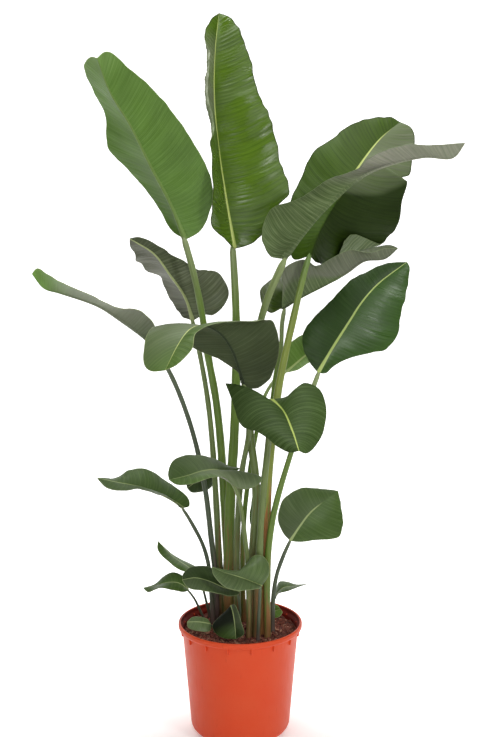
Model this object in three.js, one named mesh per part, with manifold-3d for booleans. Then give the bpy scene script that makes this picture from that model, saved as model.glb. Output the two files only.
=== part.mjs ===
// Potted bird of paradise: a nursery pot filled with soil, and one plant of arching
// paddle leaves, each a blade on its own long stalk that stands in the soil.
// Millimetres, +Z up. The origin is the centre of the pot's underside.
import * as THREE from "three";
import { mergeVertices } from "three/addons/utils/BufferGeometryUtils.js";
import Module from "manifold-3d";

const wasm = await Module();
wasm.setup();

// ---------------------------------------------------------------- driving sizes
const POT_HEIGHT = 228;
const RIM_RADIUS = 127.5;
const BODY_TOP_RADIUS = 119.3;
const BODY_FOOT_RADIUS = 102.5;
const FOOT_CORNER = 17;
const CORNER_STEPS = 4;
const POT_WALL = 2;
const POT_FLOOR = 3;
const LIP_HEIGHT = 15;
const LIP_ROUND = 3;
const LIP_FOOT = POT_HEIGHT - LIP_HEIGHT;
const POT_SIDES = 36;

// The middle of a flat side of the pot is this much nearer the axis than its corners.
const POT_FLAT = Math.cos(Math.PI / POT_SIDES);

const GUSSETS = 16;
const GUSSET_DROP = 11;
const GUSSET_REACH = 4.5;
const GUSSET_REACH_BELOW = 2.8;
const GUSSET_WIDTH = 3.5;

const DRAIN_HOLES = 6;
const DRAIN_RADIUS = 6;
const DRAIN_RING = 66;
const DRAIN_SIDES = 12;

const SOIL_LEVEL = 208;
const SOIL_GAP = 0.5;
const SOIL_SIDES = 24;
const SOIL_RINGS = 5;
const SOIL_LUMP = 3;

const STALK_DEPTH = 34;
const STALK_GAP = 0.4;
const STALK_BEND = SOIL_LEVEL + SOIL_LUMP + 2;
const STALK_LEAD = 4;
const STALK_STEP = 52;
const FEWEST_STALK_STEPS = 3;
const STALK_SIDES = 8;
const SOCKET_SIDES = 8;

// A stalk whose foot is thinner than this across its half has fewer sides.
const THIN_STALK = 4;
const THIN_STALK_SIDES = 6;

// The stalk runs this part of the way from the blade's base to the rib's next point.
const STALK_INTO_BLADE = 0.12;

const BLADE_THICKNESS = 1.6;
const KEEL_AT_BASE = 3.6;
const KEEL_AT_TIP = 0.6;
const ROW_STEP = 30;
const FEWEST_ROWS = 5;

// Where a blade has its points, from the left margin (-1) over the rib to the right one.
const BLADE_SHARES = [-1, -0.68, -0.36, -0.07, 0, 0.07, 0.36, 0.68, 1];

// Points of a surface that lie closer than this are one point.
const MERGE_REACH = 1e-4;

// ------------------------------------------------- the plane the leaves are drawn in
// A leaf's points are [right, up, away]: millimetres to the right of the pot's axis and
// above the ground as they look from EYE in the upright plane through that axis, and
// then the real distance behind that plane (less than zero is nearer the eye).
const EYE = new THREE.Vector3(16, -2000, 1000);
const EYE_PITCH = THREE.MathUtils.degToRad(7.1);
const EYE_REACH = -EYE.y / Math.cos(EYE_PITCH);
const MIDDLE = { right: 16, up: 737 };
const EYE_UP = new THREE.Vector3(0, Math.sin(EYE_PITCH), Math.cos(EYE_PITCH));
const EYE_AHEAD = new THREE.Vector3(0, Math.cos(EYE_PITCH), -Math.sin(EYE_PITCH));

function seen([right, up, away]) {
  const ray = new THREE.Vector3(right - MIDDLE.right, 0, 0)
    .addScaledVector(EYE_UP, up - MIDDLE.up)
    .addScaledVector(EYE_AHEAD, EYE_REACH);
  return ray.multiplyScalar((away - EYE.y) / ray.y).add(EYE);
}

// ------------------------------------------------------------------------ leaves
// foot is where the stalk stands in the soil, [x, y]; thick is the stalk's radius at the
// foot and under the blade. stalk runs up to the blade, rib from there to the tip, and
// left and right are the margins as they lie when the upper side is looked at with the
// tip away. bow lifts the middle of each half, as a part of its width.
const LEAVES = {
  leaf_tall_centre: {
    foot: [-23, 44], thick: [13, 6.8], bow: 0.05,
    stalk: [[-22, 374, 45], [-19, 490, 46], [-12, 594, 48], [-8, 714, 52], [-8, 850, 56]],
    rib: [[-11, 976, 60], [-28, 1074, 68], [-42, 1164, 85], [-52, 1274, 105],
      [-50, 1374, 128], [-42, 1448, 150]],
    left: [[-32, 996, 35], [-56, 1022, -7], [-54, 1080, -25], [-56, 1164, -10],
      [-65, 1234, 10], [-77, 1304, 40], [-71, 1350, 65], [-71, 1408, 105], [-56, 1438, 138]],
    right: [[22, 986, 62], [48, 1010, 68], [72, 1056, 74], [98, 1087, 82], [80, 1154, 100],
      [62, 1234, 112], [32, 1302, 125], [20, 1358, 135], [0, 1410, 143], [-22, 1440, 148]],
  },
  leaf_tall_left: {
    foot: [-20, 70], thick: [10, 6], bow: 0.05,
    stalk: [[-24, 354, 71], [-29, 434, 71], [-34, 514, 69], [-38, 580, 66], [-48, 674, 55],
      [-64, 764, 40], [-76, 846, 25], [-92, 924, 8]],
    rib: [[-109, 994, -5], [-140, 1068, -18], [-180, 1144, -45], [-220, 1224, -78],
      [-260, 1290, -108], [-286, 1358, -140]],
    left: [[-80, 1012, 5], [-55, 1070, 5], [-60, 1124, 0], [-103, 1204, -25],
      [-157, 1278, -60], [-220, 1336, -100], [-266, 1372, -128]],
    right: [[-137, 1016, 12], [-177, 1080, 15], [-220, 1130, 10], [-264, 1180, -6],
      [-268, 1238, -35], [-290, 1288, -58], [-312, 1342, -105], [-298, 1360, -130]],
  },
  leaf_big_right: {
    foot: [48, -22], thick: [10.5, 6.2], bow: 0.04,
    stalk: [[54, 474, -16], [63, 594, -8], [80, 714, -2], [106, 834, 8], [130, 934, 18]],
    rib: [[140, 962, 22], [156, 1004, 34], [190, 1066, 62], [234, 1136, 102],
      [280, 1196, 142], [320, 1230, 170]],
    left: [[106, 956, 40], [98, 1020, 62], [100, 1070, 78], [120, 1114, 94],
      [146, 1168, 114], [180, 1194, 128], [220, 1224, 146], [264, 1238, 160],
      [302, 1239, 169]],
    right: [[152, 950, 60], [172, 946, 100], [196, 952, 122], [222, 967, 136],
      [256, 982, 146], [288, 992, 148], [316, 1026, 112], [325, 1074, 92], [334, 1110, 88],
      [321, 1117, 96], [338, 1124, 112], [344, 1160, 140], [350, 1196, 156],
      [344, 1218, 166]],
  },
  leaf_long_right: {
    foot: [22, -24], thick: [8.5, 7], bow: 0.07,
    stalk: [[26, 374, -24], [32, 474, -23], [30, 530, -18], [23, 584, -10], [18, 650, -5],
      [18, 704, -5], [30, 784, -8], [54, 874, -18]],
    rib: [[86, 956, -28], [120, 998, -50], [180, 1066, -78], [240, 1118, -102],
      [290, 1142, -124], [370, 1160, -156], [426, 1159, -176],
      [450, 1188, -186]],
    left: [[100, 990, 10], [140, 1040, 24], [186, 1086, 10], [240, 1122, -20],
      [296, 1146, -62], [372, 1163, -116], [424, 1176, -160]],
    right: [[60, 962, -12], [44, 1000, 0], [52, 1042, 4], [64, 1058, -2], [120, 1078, -30],
      [174, 1114, -62], [236, 1136, -100], [254, 1156, -124], [282, 1170, -142],
      [326, 1185, -160], [380, 1184, -176], [430, 1187, -186]],
  },
  leaf_curled_right: {
    foot: [34, -10], thick: [6, 4.5], bow: 0.06,
    stalk: [[43, 474, 1], [57, 594, 9], [70, 714, 16], [82, 780, 22], [84, 826, 30]],
    rib: [[84, 858, 36], [120, 876, 36], [170, 902, 36], [214, 928, 34], [250, 952, 30],
      [290, 957, 26], [316, 978, 22]],
    left: [[60, 848, 52], [44, 866, 66], [40, 894, 74], [60, 914, 80], [110, 934, 84],
      [160, 944, 78], [220, 962, 60], [260, 978, 46], [300, 984, 30]],
    right: [[85, 892, 34], [88, 936, 34], [128, 955, 36], [152, 942, 36], [180, 956, 34],
      [218, 974, 30], [256, 970, 22], [292, 976, 18]],
  },
  leaf_glossy_right: {
    foot: [55, -40], thick: [7.5, 4.5], bow: 0.05,
    stalk: [[55, 344, -38], [63, 422, -35], [75, 478, -32], [102, 568, -28], [124, 640, -20],
      [146, 698, -11]],
    rib: [[156, 728, -6], [180, 770, 15], [218, 830, 48], [244, 870, 68], [276, 906, 88],
      [334, 950, 112]],
    left: [[136, 754, 15], [124, 784, 35], [126, 808, 48], [144, 834, 58], [180, 870, 72],
      [220, 912, 88], [260, 934, 100], [296, 948, 108]],
    right: [[172, 728, 5], [190, 744, 15], [220, 758, 28], [260, 768, 45], [292, 776, 58],
      [314, 804, 72], [322, 844, 85], [330, 878, 95], [338, 918, 104], [339, 940, 110]],
  },
  leaf_behind_right: {
    foot: [6, 42], thick: [6, 3.5], bow: 0.06,
    stalk: [[6, 394, 43], [14, 494, 45], [32, 604, 50], [48, 678, 58], [70, 714, 66]],
    rib: [[90, 728, 74], [120, 754, 94], [164, 790, 118], [210, 824, 140]],
    left: [[88, 752, 85], [92, 776, 100], [106, 794, 112], [130, 806, 124],
      [170, 822, 136]],
    right: [[114, 734, 95], [142, 750, 113], [180, 774, 130], [204, 804, 138]],
  },
  leaf_under_left: {
    foot: [-40, 64], thick: [8, 4.5], bow: 0.05,
    stalk: [[-42, 354, 63], [-48, 474, 60], [-56, 594, 56], [-66, 684, 54], [-84, 784, 51]],
    rib: [[-94, 832, 50], [-110, 880, 44], [-140, 924, 25], [-172, 966, -5],
      [-221, 997, -40]],
    left: [[-70, 846, 60], [-56, 844, 66], [-36, 856, 72], [-24, 880, 72], [-28, 910, 66],
      [-52, 932, 60], [-84, 934, 52], [-112, 952, 40], [-140, 968, 22], [-176, 990, -8],
      [-204, 1000, -30]],
    right: [[-119, 844, 70], [-135, 872, 86], [-149, 896, 84], [-158, 918, 75],
      [-182, 934, 58], [-203, 948, 35], [-212, 968, 2], [-220, 984, -25]],
  },
  leaf_far_left: {
    foot: [-51, 47], thick: [7, 4.6], bow: 0.06,
    stalk: [[-50, 334, 46], [-57, 394, 44], [-69, 494, 37], [-90, 594, 24], [-116, 674, 8],
      [-144, 736, -6]],
    rib: [[-168, 778, -16], [-190, 798, -26], [-240, 834, -50], [-284, 862, -75],
      [-360, 888, -118], [-392, 898, -135], [-416, 927, -150]],
    left: [[-166, 798, -30], [-172, 824, -50], [-186, 841, -65], [-208, 855, -80],
      [-250, 862, -102], [-300, 882, -125], [-344, 904, -148], [-384, 926, -158],
      [-406, 937, -156]],
    right: [[-172, 800, 5], [-186, 828, 20], [-240, 853, 5], [-290, 868, -22],
      [-350, 890, -62], [-390, 910, -100], [-410, 930, -132]],
  },
  leaf_arched_left: {
    foot: [-6, 24], thick: [8, 4.4], bow: 0.05,
    stalk: [[-6, 374, 20], [-2, 474, 12], [5, 538, -6], [17, 606, -31], [15, 664, -38]],
    rib: [[10, 698, -42], [-16, 774, -75], [-42, 809, -105], [-74, 823, -140],
      [-100, 815, -165], [-124, 784, -190], [-150, 733, -205]],
    left: [[36, 698, -35], [60, 718, -32], [76, 762, -45], [78, 790, -60], [64, 832, -85],
      [20, 832, -120], [-40, 828, -160], [-88, 806, -185], [-96, 776, -200],
      [-125, 745, -208]],
    right: [[0, 724, -50], [-20, 742, -58], [-56, 762, -68], [-90, 776, -82],
      [-130, 804, -102], [-166, 822, -125], [-184, 808, -150], [-192, 778, -175],
      [-191, 744, -192], [-176, 731, -202]],
  },
  leaf_drooping_right: {
    foot: [34, -40], thick: [8.5, 5.5], bow: 0.1,
    stalk: [[42, 434, -44], [49, 514, -48], [57, 594, -55], [62, 648, -66]],
    rib: [[62, 676, -80], [86, 652, -115], [104, 614, -165], [118, 572, -220]],
    left: [[84, 678, -70], [104, 686, -65], [128, 709, -70], [157, 698, -85],
      [172, 664, -110], [170, 620, -145], [154, 585, -180], [133, 567, -210]],
    right: [[44, 676, -78], [20, 678, -80], [-4, 686, -85], [-29, 709, -86],
      [-22, 690, -100], [-12, 664, -115], [-4, 638, -130], [6, 620, -140],
      [30, 612, -155], [52, 600, -170], [74, 582, -187], [100, 569, -207]],
  },
  leaf_low_left: {
    foot: [-58, 32], thick: [5.5, 3.5], bow: 0.06,
    stalk: [[-62, 340, 31], [-74, 384, 28], [-100, 434, 20]],
    rib: [[-112, 458, 16], [-136, 474, 10], [-164, 488, 2], [-200, 500, -8],
      [-240, 508, -20], [-286, 518, -35]],
    left: [[-121, 460, -6], [-130, 469, -20], [-160, 484, -38], [-200, 494, -45],
      [-230, 492, -50], [-266, 498, -50], [-278, 508, -42]],
    right: [[-102, 462, 28], [-104, 476, 38], [-120, 492, 48], [-152, 516, 48],
      [-184, 534, 40], [-218, 534, 25], [-246, 520, 5]],
  },
  leaf_arched_low: {
    foot: [18, -47], thick: [6, 4], bow: 0.06,
    stalk: [[16, 344, -48], [11, 394, -50], [6, 434, -53], [0, 470, -58], [-9, 498, -63]],
    rib: [[-20, 522, -70], [-44, 534, -92], [-74, 532, -112], [-106, 522, -128],
      [-142, 514, -140]],
    left: [[12, 526, -80], [44, 518, -90], [32, 502, -110], [8, 496, -122],
      [-12, 504, -130], [-32, 520, -138], [-60, 518, -150], [-100, 504, -162],
      [-126, 504, -157]],
    right: [[0, 538, -60], [-20, 542, -52], [-50, 556, -50], [-80, 562, -62],
      [-112, 562, -82], [-136, 550, -105], [-144, 528, -128]],
  },
  leaf_low_right: {
    foot: [66, -12], thick: [5.5, 3.4], bow: 0.06,
    stalk: [[67, 284, -12], [74, 326, -12], [90, 370, -11]],
    rib: [[100, 392, -8], [120, 422, 12], [140, 448, 34], [166, 470, 56], [196, 492, 78]],
    left: [[86, 408, 0], [76, 438, 20], [86, 474, 45], [120, 496, 65], [156, 497, 78],
      [180, 495, 82]],
    right: [[120, 390, 5], [156, 394, 22], [196, 400, 42], [206, 428, 58],
      [202, 464, 72]],
  },
  leaf_low_back: {
    foot: [-34, 92], thick: [3.5, 2.5], bow: 0.06,
    stalk: [[-40, 384, 94], [-44, 454, 96]],
    rib: [[-50, 526, 100], [-76, 518, 96], [-106, 498, 90]],
    left: [[-58, 500, 112], [-84, 489, 104], [-98, 490, 95]],
    right: [[-58, 548, 92], [-84, 546, 86], [-108, 520, 84]],
  },
  leaf_shaded_middle: {
    foot: [46, 14], thick: [3.5, 2.5], bow: 0.05,
    stalk: [[44, 300, 16]],
    rib: [[44, 362, 20], [46, 414, 26], [48, 464, 33], [48, 512, 40]],
    left: [[28, 370, 24], [22, 384, 27], [30, 402, 28], [20, 430, 31], [22, 464, 36],
      [30, 494, 39]],
    right: [[56, 378, 36], [60, 424, 48], [55, 474, 50]],
  },
  leaf_small_upper_left: {
    foot: [-66, 60], thick: [3.2, 2.2], bow: 0.06,
    stalk: [[-66, 266, 58], [-74, 296, 53]],
    rib: [[-82, 322, 48], [-104, 340, 40], [-136, 362, 28], [-164, 392, 14]],
    left: [[-100, 328, 25], [-124, 336, 10], [-154, 360, 2], [-165, 376, 5]],
    right: [[-86, 338, 62], [-116, 354, 58], [-148, 376, 38]],
  },
  leaf_small_left: {
    foot: [-74, 20], thick: [3.2, 2.2], bow: 0.06,
    stalk: [[-78, 250, 18], [-92, 278, 15]],
    rib: [[-102, 294, 12], [-124, 308, 4], [-150, 308, -5], [-170, 302, -12],
      [-194, 298, -20]],
    left: [[-112, 290, -8], [-136, 294, -24], [-160, 298, -34], [-184, 290, -32]],
    right: [[-114, 320, 28], [-134, 328, 26], [-154, 320, 16], [-172, 306, 2]],
  },
  leaf_small_front_left: {
    foot: [-4, -40], thick: [3.6, 2.6], bow: 0.08,
    stalk: [[0, 254, -50]],
    rib: [[0, 290, -66], [-32, 298, -78], [-64, 312, -90], [-90, 318, -100],
      [-116, 314, -112]],
    left: [[-4, 284, -80], [-24, 282, -98], [-50, 288, -112], [-80, 294, -120],
      [-104, 298, -120]],
    right: [[0, 306, -56], [-24, 322, -50], [-52, 336, -52], [-74, 342, -62],
      [-98, 340, -78], [-114, 326, -98]],
  },
  leaf_small_front_right: {
    foot: [36, -64], thick: [3.6, 2.6], bow: 0.08,
    stalk: [[38, 254, -65]],
    rib: [[44, 302, -68], [20, 312, -80], [-8, 322, -92], [-34, 330, -102],
      [-56, 340, -112]],
    left: [[38, 296, -85], [20, 294, -105], [-4, 292, -118], [-26, 298, -125],
      [-44, 312, -125], [-55, 328, -119]],
    right: [[56, 324, -62], [56, 346, -58], [44, 362, -58], [28, 362, -62],
      [14, 346, -68], [0, 334, -78], [-24, 334, -94]],
  },
  leaf_small_right: {
    foot: [52, 66], thick: [3.2, 2], bow: 0.06,
    stalk: [[62, 262, 62]],
    rib: [[70, 282, 56], [86, 298, 48], [106, 302, 40], [134, 306, 28]],
    left: [[72, 294, 68], [78, 310, 75], [94, 310, 68], [116, 305, 46]],
    right: [[80, 288, 38], [100, 294, 24], [120, 301, 20]],
  },
  leaf_tiny_right: {
    foot: [56, 82], thick: [2.6, 2], bow: 0.08,
    stalk: [],
    rib: [[57, 249, 74], [66, 251, 68], [81, 256, 62]],
    left: [[55, 257, 76], [62, 265, 72], [74, 264, 66]],
    right: [[66, 239, 60], [78, 240, 55], [85, 249, 58]],
  },
  leaf_tiny_front: {
    foot: [-22, -26], thick: [3, 2.2], bow: 0.06,
    stalk: [[-21, 236, -30]],
    rib: [[-18, 264, -46], [-14, 250, -62], [-10, 224, -74], [-8, 196, -80]],
    left: [[-10, 264, -56], [-3, 250, -68], [3, 228, -78], [8, 206, -84]],
    right: [[-28, 252, -50], [-46, 236, -50], [-56, 222, -54], [-50, 208, -64],
      [-34, 198, -76]],
  },
  leaf_tiny_left: {
    foot: [-52, -20], thick: [2.6, 2], bow: 0.06,
    stalk: [],
    rib: [[-58, 226, -30], [-82, 230, -38], [-106, 230, -42]],
    left: [[-60, 212, -44], [-84, 212, -52], [-104, 219, -48]],
    right: [[-66, 236, -22], [-94, 240, -30]],
  },
};

// --------------------------------------------------------------------- mesh tools
function bareGeometry(geometry) {
  geometry.deleteAttribute("normal");
  geometry.deleteAttribute("uv");
  return mergeVertices(geometry, MERGE_REACH);
}

function solidOf(geometry) {
  const merged = bareGeometry(geometry);
  const corners = [...merged.index.array];
  const kept = [];
  for (let i = 0; i < corners.length; i += 3) {
    const [a, b, c] = corners.slice(i, i + 3);
    if (a !== b && b !== c && c !== a) {
      kept.push(a, b, c);
    }
  }
  return new wasm.Manifold(new wasm.Mesh({
    numProp: 3,
    vertProperties: new Float32Array(merged.attributes.position.array),
    triVerts: new Uint32Array(kept),
  }));
}

function geometryOf(solid) {
  const mesh = solid.getMesh();
  const geometry = new THREE.BufferGeometry();
  const places = new THREE.BufferAttribute(new Float32Array(mesh.vertProperties), 3);
  geometry.setAttribute("position", places);
  geometry.setIndex([...mesh.triVerts]);
  geometry.computeVertexNormals();
  return geometry;
}

function closedMesh(points, triangles) {
  const geometry = new THREE.BufferGeometry().setFromPoints(points);
  geometry.setIndex(triangles.flat());
  return solidOf(geometry);
}

// A shape of revolution about Z from a closed profile of [radius, height] points.
function turned(profile, sides) {
  const points = profile.map(([radius, height]) => new THREE.Vector2(radius, height));
  return new THREE.LatheGeometry(points, sides).rotateX(Math.PI / 2);
}

// An upright round cutter between two heights.
function uprightHole({ x, y, radius, from, to, sides }) {
  const hole = new THREE.CylinderGeometry(radius, radius, to - from, sides);
  hole.rotateX(Math.PI / 2);
  hole.translate(x, y, (from + to) / 2);
  return solidOf(hole);
}

function seededRandom(seed) {
  let state = seed;
  return () => {
    state = (state * 1664525 + 1013904223) % 4294967296;
    return state / 4294967296;
  };
}

function smoothCurve(points) {
  return new THREE.CatmullRomCurve3(points, false, "centripetal");
}

// --------------------------------------------------------------------------- pot
// The radius of the body's outside, which widens evenly from the foot to the lip.
function bodyRadiusAt(height) {
  const share = (height - FOOT_CORNER) / (LIP_FOOT - FOOT_CORNER);
  return THREE.MathUtils.lerp(BODY_FOOT_RADIUS, BODY_TOP_RADIUS, share);
}

function potProfile() {
  const corner = [];
  for (let k = 0; k <= CORNER_STEPS; k += 1) {
    const turn = (k / CORNER_STEPS) * (Math.PI / 2);
    corner.push([
      BODY_FOOT_RADIUS - FOOT_CORNER + FOOT_CORNER * Math.sin(turn),
      FOOT_CORNER - FOOT_CORNER * Math.cos(turn),
    ]);
  }
  const innerFoot = FOOT_CORNER + POT_FLOOR;
  return [
    [0, 0],
    ...corner,
    [BODY_TOP_RADIUS, LIP_FOOT],
    [RIM_RADIUS - LIP_ROUND, LIP_FOOT + LIP_ROUND],
    [RIM_RADIUS, LIP_FOOT + 2 * LIP_ROUND],
    [RIM_RADIUS, POT_HEIGHT - LIP_ROUND],
    [RIM_RADIUS - LIP_ROUND, POT_HEIGHT],
    [RIM_RADIUS - 2 * LIP_ROUND, POT_HEIGHT - LIP_ROUND],
    [BODY_TOP_RADIUS + POT_WALL, LIP_FOOT + 2 * LIP_ROUND],
    [BODY_TOP_RADIUS - POT_WALL, LIP_FOOT],
    [bodyRadiusAt(innerFoot) - POT_WALL, innerFoot],
    [BODY_FOOT_RADIUS - POT_WALL - FOOT_CORNER, POT_FLOOR],
    [0, POT_FLOOR],
  ];
}

// One of the small upright fins that carry the lip.
function gusset(turn) {
  const inside = BODY_TOP_RADIUS - POT_WALL;
  const outline = new THREE.Shape([
    new THREE.Vector2(inside, LIP_FOOT - GUSSET_DROP),
    new THREE.Vector2(BODY_TOP_RADIUS + GUSSET_REACH_BELOW, LIP_FOOT - GUSSET_DROP),
    new THREE.Vector2(BODY_TOP_RADIUS + GUSSET_REACH, LIP_FOOT + LIP_ROUND),
    new THREE.Vector2(inside, LIP_FOOT + LIP_ROUND),
  ]);
  const fin = new THREE.ExtrudeGeometry(outline, { depth: GUSSET_WIDTH, bevelEnabled: false });
  fin.translate(0, 0, -GUSSET_WIDTH / 2);
  fin.rotateX(Math.PI / 2);
  fin.rotateZ(turn);
  return solidOf(fin);
}

function drainHole(turn) {
  return uprightHole({
    x: DRAIN_RING * Math.cos(turn),
    y: DRAIN_RING * Math.sin(turn),
    radius: DRAIN_RADIUS,
    from: -POT_FLOOR,
    to: 2 * POT_FLOOR,
    sides: DRAIN_SIDES,
  });
}

function makePot() {
  let pot = solidOf(turned(potProfile(), POT_SIDES));
  for (let i = 0; i < GUSSETS; i += 1) {
    pot = pot.add(gusset(((i + 0.5) / GUSSETS) * 2 * Math.PI));
  }
  for (let i = 0; i < DRAIN_HOLES; i += 1) {
    pot = pot.subtract(drainHole(((i + 0.5) / DRAIN_HOLES) * 2 * Math.PI));
  }
  return pot;
}

// -------------------------------------------------------------------------- soil
// The soil's outside at a height: a small gap inside the flats of the pot's wall.
function soilRadiusAt(height) {
  return (bodyRadiusAt(height) - POT_WALL) * POT_FLAT - SOIL_GAP;
}

// The soil fills the pot up to an uneven surface and has a hole for every stalk.
function makeSoil(sockets) {
  const foot = FOOT_CORNER + POT_FLOOR + SOIL_GAP;
  const edge = soilRadiusAt(SOIL_LEVEL);
  const profile = [
    [0, POT_FLOOR + SOIL_GAP],
    [soilRadiusAt(foot) - FOOT_CORNER, POT_FLOOR + SOIL_GAP],
    [soilRadiusAt(foot), foot],
    [edge, SOIL_LEVEL - SOIL_LUMP],
  ];
  for (let ring = 1; ring <= SOIL_RINGS; ring += 1) {
    profile.push([edge * (1 - ring / SOIL_RINGS), SOIL_LEVEL]);
  }
  const body = bareGeometry(turned(profile, SOIL_SIDES));
  const random = seededRandom(7);
  const places = body.attributes.position;
  for (let i = 0; i < places.count; i += 1) {
    if (places.getZ(i) > SOIL_LEVEL - SOIL_LUMP / 2) {
      places.setZ(i, SOIL_LEVEL + SOIL_LUMP * (2 * random() - 1));
    }
  }
  return sockets.reduce((soil, socket) => soil.subtract(socket), solidOf(body));
}

// The hole in the soil for one stalk.
function makeSocket({ foot, thick }) {
  return uprightHole({
    x: foot[0],
    y: foot[1],
    radius: (thick[0] + STALK_GAP) / Math.cos(Math.PI / SOCKET_SIDES),
    from: SOIL_LEVEL - STALK_DEPTH - STALK_GAP,
    to: STALK_BEND,
    sides: SOCKET_SIDES,
  });
}

// ------------------------------------------------------------------------ stalks
// A stalk stands upright in the soil and bends from STALK_BEND on.
function stalkRings({ foot, thick, stalk, rib }) {
  const [x, y] = foot;
  const curve = smoothCurve([
    new THREE.Vector3(x, y, STALK_BEND),
    new THREE.Vector3(x, y, STALK_BEND + STALK_LEAD),
    ...stalk.map(seen),
    seen(rib[0]).lerp(seen(rib[1]), STALK_INTO_BLADE),
  ]);
  const steps = Math.max(FEWEST_STALK_STEPS, Math.round(curve.getLength() / STALK_STEP));
  const rings = [{
    centre: new THREE.Vector3(x, y, SOIL_LEVEL - STALK_DEPTH),
    ahead: new THREE.Vector3(0, 0, 1),
    radius: thick[0],
  }];
  for (let i = 0; i <= steps; i += 1) {
    rings.push({
      centre: curve.getPointAt(i / steps),
      ahead: curve.getTangentAt(i / steps),
      radius: THREE.MathUtils.lerp(thick[0], thick[1], i / steps),
    });
  }
  return rings;
}

// A round solid through a row of rings, with flat ends.
function tube(rings, sides) {
  const points = [];
  const triangles = [];
  let sideways = new THREE.Vector3(1, 0, 0);
  for (const { centre, ahead, radius } of rings) {
    sideways = sideways.clone().addScaledVector(ahead, -sideways.dot(ahead)).normalize();
    const upward = ahead.clone().cross(sideways);
    for (let k = 0; k < sides; k += 1) {
      const turn = (k / sides) * 2 * Math.PI;
      points.push(centre.clone()
        .addScaledVector(sideways, radius * Math.cos(turn))
        .addScaledVector(upward, radius * Math.sin(turn)));
    }
  }
  const last = (rings.length - 1) * sides;
  for (let first = 0; first < last; first += sides) {
    for (let k = 0; k < sides; k += 1) {
      const [a, b] = [first + k, first + ((k + 1) % sides)];
      triangles.push([a, b, b + sides], [a, b + sides, a + sides]);
    }
  }
  for (let k = 1; k < sides - 1; k += 1) {
    triangles.push([0, k + 1, k], [last, last + k, last + k + 1]);
  }
  return closedMesh(points, triangles);
}

// ------------------------------------------------------------------------ blades
// One half of a blade is spanned between the rib and a margin. share is 0 on the rib and 1
// on the margin; along is 0 at the base and 1 at the tip.
function bladePoint(rib, margin, along, share, bow, side) {
  const start = rib.getPointAt(along);
  const across = margin.getPointAt(along).sub(start);
  const lift = rib.getTangentAt(along).cross(across).multiplyScalar(-side).normalize();
  return start.addScaledVector(across, share)
    .addScaledVector(lift, across.length() * bow * 4 * share * (1 - share));
}

// Rows of points lie closer together towards the base and the tip.
function rowPlace(i, rows) {
  const even = i / rows;
  const eased = (1 - Math.cos(Math.PI * even)) / 2;
  return (even + eased) / 2;
}

function makeBlade({ rib, left, right, bow }) {
  const base = seen(rib[0]);
  const tip = seen(rib[rib.length - 1]);
  const spine = smoothCurve(rib.map(seen));
  const leftMargin = smoothCurve([base, ...left.map(seen), tip]);
  const rightMargin = smoothCurve([base, ...right.map(seen), tip]);
  const rows = Math.max(FEWEST_ROWS, Math.round(spine.getLength() / ROW_STEP));
  const grid = [];
  for (let i = 1; i < rows; i += 1) {
    const along = rowPlace(i, rows);
    grid.push(BLADE_SHARES.map((share) => (share < 0
      ? bladePoint(spine, leftMargin, along, -share, bow, -1)
      : bladePoint(spine, rightMargin, along, share, bow, 1))));
  }
  return thickened(grid, spine, base, tip);
}

// Gives a sheet of points its thickness, with the rib standing out below.
function thickened(grid, spine, base, tip) {
  const rows = grid.length;
  const columns = grid[0].length;
  const middle = (columns - 1) / 2;
  const upper = [];
  const lower = [];
  grid.forEach((row, i) => {
    const keel = THREE.MathUtils.lerp(KEEL_AT_BASE, KEEL_AT_TIP, rowPlace(i + 1, rows + 1));
    row.forEach((point, j) => {
      const across = row[Math.min(j + 1, columns - 1)].clone().sub(row[Math.max(j - 1, 0)]);
      const ahead = (grid[i + 1] ?? [])[j] ?? tip;
      const behind = (grid[i - 1] ?? [])[j] ?? base;
      const normal = across.cross(ahead.clone().sub(behind)).normalize();
      const drop = BLADE_THICKNESS / 2 + (j === middle ? keel : 0);
      upper.push(point.clone().addScaledVector(normal, BLADE_THICKNESS / 2));
      lower.push(point.clone().addScaledVector(normal, -drop));
    });
  });
  const ends = [base, tip].flatMap((end, k) => {
    const row = grid[k * (rows - 1)];
    const across = row[columns - 1].clone().sub(row[0]);
    const normal = across.cross(spine.getTangentAt(k)).normalize();
    return [1, -1].map((sign) => end.clone().addScaledVector(normal, sign * BLADE_THICKNESS / 2));
  });

  // Every point of the upper face has its partner on the lower one.
  const count = rows * columns;
  const baseUp = 2 * count;
  const tipUp = baseUp + 2;
  const below = (k) => (k < count ? k + count : k + 1);
  const triangles = [];
  const addBothFaces = (a, b, c) => {
    triangles.push([a, b, c], [below(a), below(c), below(b)]);
  };
  for (let j = 0; j < columns - 1; j += 1) {
    const last = count - columns + j;
    addBothFaces(baseUp, j + 1, j);
    addBothFaces(last, last + 1, tipUp);
    for (let a = j; a < last; a += columns) {
      addBothFaces(a, a + 1, a + columns + 1);
      addBothFaces(a, a + columns + 1, a + columns);
    }
  }
  const leftEdge = grid.map((_, i) => i * columns);
  const rightEdge = leftEdge.map((k) => k + columns - 1).reverse();
  const loop = [baseUp, ...leftEdge, tipUp, ...rightEdge];
  loop.forEach((k, i) => {
    const next = loop[(i + 1) % loop.length];
    triangles.push([k, next, below(next)], [k, below(next), below(k)]);
  });
  return closedMesh([...upper, ...lower, ...ends], triangles);
}

function makeLeaf(leaf) {
  const sides = leaf.thick[0] > THIN_STALK ? STALK_SIDES : THIN_STALK_SIDES;
  return tube(stalkRings(leaf), sides).add(makeBlade(leaf));
}

// ---------------------------------------------------------------------- materials
function finish(color, roughness) {
  return new THREE.MeshStandardMaterial({ color, roughness });
}

const POT_PLASTIC = finish("#d4523a", 0.45);
const SOIL_MIX = finish("#4a3028", 0.95);
const LEAF_SKIN = finish("#4b6b2a", 0.4);

// ----------------------------------------------------------------------- assembly
const group = new THREE.Group();

function place(name, solid, material) {
  const mesh = new THREE.Mesh(geometryOf(solid), material);
  mesh.name = name;
  group.add(mesh);
}

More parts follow.
